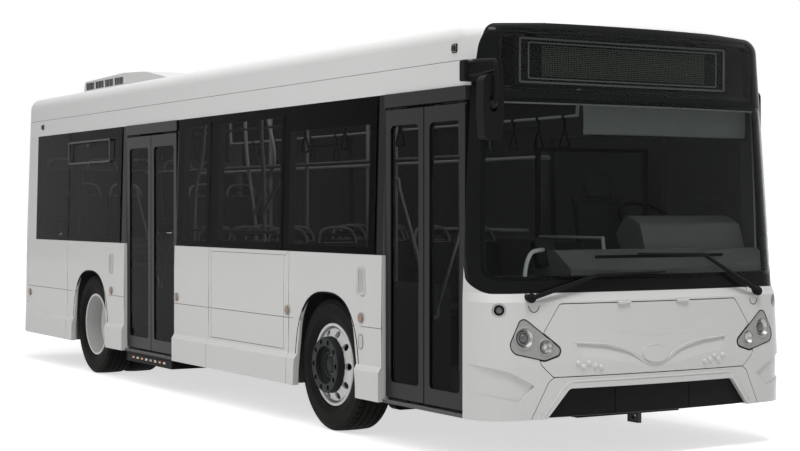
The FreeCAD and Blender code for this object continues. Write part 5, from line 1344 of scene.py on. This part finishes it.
# %% One pad
PAD_RINGS = [(0.93, 0.00), (0.985, 0.18), (1.00, 0.42), (0.985, 0.66), (0.94, 0.84), (0.885, 0.90), (0.865, 0.80),
             (0.845, 0.90), (0.70, 1.02), (0.45, 1.10), (0.20, 1.13)]     # size of the outline, height of the ring
CROWN, SIDE_PULL = 1.14, 0.018


def pad(origin, across, up, width, height, thick, radius):
    across, up = Vector(across).normalized(), Vector(up).normalized()
    out = across.cross(up)
    outline = rounded(width, height, radius, 4)
    n, points, faces = len(outline), [], []
    for size, lift in PAD_RINGS:
        for a, b in outline:
            pull = 1 - SIDE_PULL * (1 - (2 * b / height) ** 2)
            points.append(Vector(origin) + across * (a * size * pull) + up * (b * size) + out * (thick * lift))
    last = (len(PAD_RINGS) - 1) * n
    for k in range(0, last, n):
        faces += [(k + i, k + (i + 1) % n, k + n + (i + 1) % n, k + n + i) for i in range(n)]
    points.append(Vector(origin) + out * thick * CROWN)
    faces += [(last + i, last + (i + 1) % n, len(points) - 1) for i in range(n)]
    faces.append(tuple(reversed(range(n))))
    return points, faces


print("rings in a pad", len(PAD_RINGS))

# %% Pads, piping and loops on every seat
BACK_LEAN = Vector((0, 0.100, 0.540)).normalized()
FLAT, LEANING = ((1, 0, 0), (0, 1, 0.04)), ((1, 0, 0), BACK_LEAN)
LOOP = [(-0.172, 0), (-0.168, 0.085), (-0.118, 0.142), (0, 0.155), (0.118, 0.142), (0.168, 0.085), (0.172, 0)]


def seat_at(low, high, back, up):
    """A place on a seat, by how far it is behind the seat's middle line and over its foot."""
    return Vector(((low.x + high.x) / 2, low.y + 0.210 + back, low.z + up))


cushions, backs, piping, loops = [], [], [], []
seats = solid_boxes("passenger_seats")
for low, high in seats:
    cushions.append(pad(seat_at(low, high, -0.015, 0.462), *FLAT, 0.395, 0.385, 0.038, 0.060))
    middle = seat_at(low, high, 0.207, 0.760)
    backs.append(pad(middle, *LEANING, 0.375, 0.500, 0.034, 0.075))
    piping.append([middle + Vector((a, -0.004, 0)) + BACK_LEAN * b for a, b in rounded(0.398, 0.525, 0.080, 4)])
    crown = middle + BACK_LEAN * 0.235
    loops.append([crown + Vector((a, 0.016, 0)) + BACK_LEAN * b for a, b in LOOP])
rods("seat_piping", piping, 0.0045, PIPING_GREY, closed=True)
rods("seat_grab_loops", loops, 0.0125, PIPING_GREY, smooth=True)
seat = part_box("driver_seat")
driver = [pad(seat_at(*seat, -0.015, 0.462), *FLAT, 0.440, 0.400, 0.055, 0.070),
          pad(seat_at(*seat, 0.207, 0.740), *LEANING, 0.430, 0.530, 0.060, 0.090),
          pad(seat_at(*seat, 0.262, 1.110), *LEANING, 0.270, 0.190, 0.060, 0.085)]
for name, pads, fill in (("seat_cushions", cushions, 0.8), ("seat_backs", backs, 0.8),
                         ("driver_seat_pads", driver, 0.85)):
    piece(name, pads, SEAT_FABRIC, rounds=1, sharp=80)
print("seats", len(seats))

# %% [markdown]
# ## Rails, forked posts and strap hangers
# Bright curved posts fork towards the ceiling, a low rail guards the windows, and strap
# hangers hang from two ceiling rails: a web loop over the rail and a triangular grip. Long
# light strips run along the ceiling. Bent tubes could be swept as meshes, but a curve with a
# round bevel needs only the places where the tube bends, so it stays easy to change.

# %% Posts and rails
POSTS = [
    [(-1.16, -1.28, 0.66), (-1.14, -1.28, 1.34), (-1.10, -1.22, 1.62), (-1.06, -1.10, 2.00), (-1.06, -1.06, 2.20),
     (-1.05, -1.06, 2.60)],
    [(-1.12, -1.23, 1.56), (-1.08, -1.40, 1.80), (-1.06, -1.60, 1.97), (-1.06, -1.50, 2.20), (-1.05, -1.46, 2.40),
     (-1.04, -1.46, 2.60)],
    [(-1.14, 0.10, 0.34), (-1.14, 0.10, 1.55), (-1.10, 0.14, 1.85), (-1.06, 0.05, 2.10), (-1.05, 0.05, 2.60)],
    [(-0.30, 0.615, 0.34), (-0.30, 0.615, 1.295), (-0.30, 0.678, 1.619), (-0.30, 0.870, 2.177),
     (-0.30, 0.870, 2.60)],
    [(-0.30, 0.66, 1.56), (-0.30, 0.36, 1.90), (-0.30, 0.207, 2.059), (-0.30, 0.409, 2.438), (-0.30, 0.409, 2.60)]]
RAIL_X, RAIL_Z, CEILING = 0.62, 2.300, 2.60
rods("forked_posts", POSTS, 0.017, RAIL_WHITE, smooth=True)
rods("window_rails", [[(x, 0.14, 1.425), (x, -1.60, 1.42)] for x in (-1.165, 1.165)], 0.014, RAIL_WHITE)
rods("ceiling_rails", [[(x, -3.05, CEILING), (x, -3.02, RAIL_Z), (x, 3.18, RAIL_Z), (x, 3.21, CEILING)]
                       for x in (-RAIL_X, RAIL_X)], 0.015, RAIL_WHITE)
print("posts", len(POSTS))

# %% Strap hangers and ceiling lights
HANGER_Y = (-2.86, -2.52, -2.18, -1.66, -0.98, -0.16, 0.80, 1.30, 2.10, 2.62)
GRIP = [(0, -0.112), (-0.020, -0.120), (-0.060, -0.218), (-0.050, -0.232), (0.050, -0.232), (0.060, -0.218),
        (0.020, -0.120)]                     # along the rail, below it
EYE = [(-0.014, 0.0165), (-0.014, 0.0195), (0.014, 0.0195), (0.014, 0.0165)]
webs, grips = [], []
for x in (-RAIL_X, RAIL_X):
    for y in HANGER_Y:
        webs.append(plate(rounded(0.026, 0.110, 0.006, 2), (x, y, RAIL_Z - 0.062), *sideways(1), 0.004))
        webs.append(lathe(EYE, (x, y, RAIL_Z), (0, 1, 0), 16, closed=True))
        grips.append([(x, y + a, RAIL_Z + b) for a, b in GRIP])
piece("hanger_webs", webs, STRAP_BLACK)
rods("hanger_grips", grips, 0.0085, STRAP_BLACK, closed=True)
strips = both_sides([plate(rounded(0.130, 6.6, 0.020), (0.80, -0.2, 2.628), (1, 0, 0), (0, -1, 0), 0.018)])
piece("ceiling_lights", strips, LIGHT_STRIP, bevel=0.004)
print("hangers", len(grips))

# %% [markdown]
# ## The driver's place
# The cab is closed off by a low screen with glass above it. In front of the wheel stand two
# plain round dials; on the passenger side a curved bright rail holds a small card reader. All
# of it is seen through the windscreen only, where fine parts would be lost. So plain blocks,
# plates and bars are enough: they give the outlines that the eye finds there.

# %% Cab screen
low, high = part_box("driver_partition")
WALL_Y, DESK_Z, GLASS_Z, PANE_TOP, PANE_END = high.y, 0.660, 1.240, 2.05, 1.16
BAND = 0.03
panels = [block((low.x, -4.40, low.z + 0.001), (high.x - 0.02, WALL_Y, DESK_Z)),
          block((low.x, WALL_Y - 0.030, DESK_Z), (high.x - 0.03, WALL_Y, GLASS_Z)),
          block((low.x, -3.990, DESK_Z), (low.x + 0.025, WALL_Y, 1.180))]
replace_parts(piece("cab_screen", panels, GRAINED_BLACK, bevel=0.004), "driver_partition")
pane = oblong((low.x + BAND, GLASS_Z + BAND), (PANE_END - BAND, PANE_TOP - BAND))
piece("cab_screen_frame", [ring_plate(oblong((low.x, GLASS_Z), (PANE_END, PANE_TOP)), pane, (0, WALL_Y, 0),
                                      *FORWARD, 0.030)], SATIN_BLACK)
piece("cab_screen_glass", [plate(pane, (0, WALL_Y - 0.011, 0), *FORWARD, 0.006)], CLEAR_PANE)
print("cab screen up to", PANE_TOP)

# %% Gate rail, entrance rail, card reader and dials
x = low.x + 0.012
rods("cab_gate_rail", [[(x, WALL_Y - 0.02, 1.18), (x, WALL_Y - 0.05, 1.40), (x, -3.95, 1.40), (x, -3.98, 1.18)]],
     0.014, RAIL_WHITE)
rods("entrance_rail", [[(-0.86, -4.46, 1.00), (-0.85, -4.45, 1.20), (-0.79, -4.43, 1.325), (-0.70, -4.40, 1.335),
                        (-0.60, -4.30, 1.335)]], 0.014, RAIL_WHITE, smooth=True)
piece("card_reader", [plate(rounded(0.150, 0.200, 0.030), (-0.560, -4.220, 1.300), (1, 0, 0), (0, 0.35, 1), 0.070)],
      SATIN_BLACK, bevel=0.010)
DIAL = [(0.0, 0.052), (0.010, 0.052), (0.010, 0.046), (0.004, 0.046), (0.004, 0.0)]
piece("dials", [lathe(DIAL, (x, -3.985, 1.470), (0, 0.9, 0.35), 32) for x in (0.56, 0.70)], DIAL_DARK)
print("cab ready")

# %% [markdown]
# ## The floor
# The floor is only a stage. A pale floor takes the grey of the light on it, so the background
# would not be white, and more light would bleach the bus. So what the eye sees of the floor
# gets a light of its own, which grows with the distance from the bus. A soft shadow stays,
# because the rest of the floor's brightness is the light that falls on it.

# %% Floor finish
FLOOR_GLOW = 0.64
LIT_RADIUS, FAR_RADIUS = 5.0, 15.0       # the lamps' light falls off between these
floor_look, tree, shader = new_material("studio_floor")
reach = node(tree, "ShaderNodeVectorMath", operation="LENGTH")
feed(tree, reach.inputs[0], node(tree, "ShaderNodeTexCoord").outputs["Object"])
away = remap(tree, reach.outputs["Value"], LIT_RADIUS, FAR_RADIUS, FLOOR_GLOW, 1.0)
give(tree, shader, {"Base Color": (0.80, 0.80, 0.80, 1), "Roughness": 1.0, "Specular IOR Level": 0.0,
                    "Emission Color": grey(tree, times(tree, looked_at(tree), away)), "Emission Strength": 1.0})
floor.data.materials.append(floor_look)
print("floor glow", FLOOR_GLOW, "near the bus")
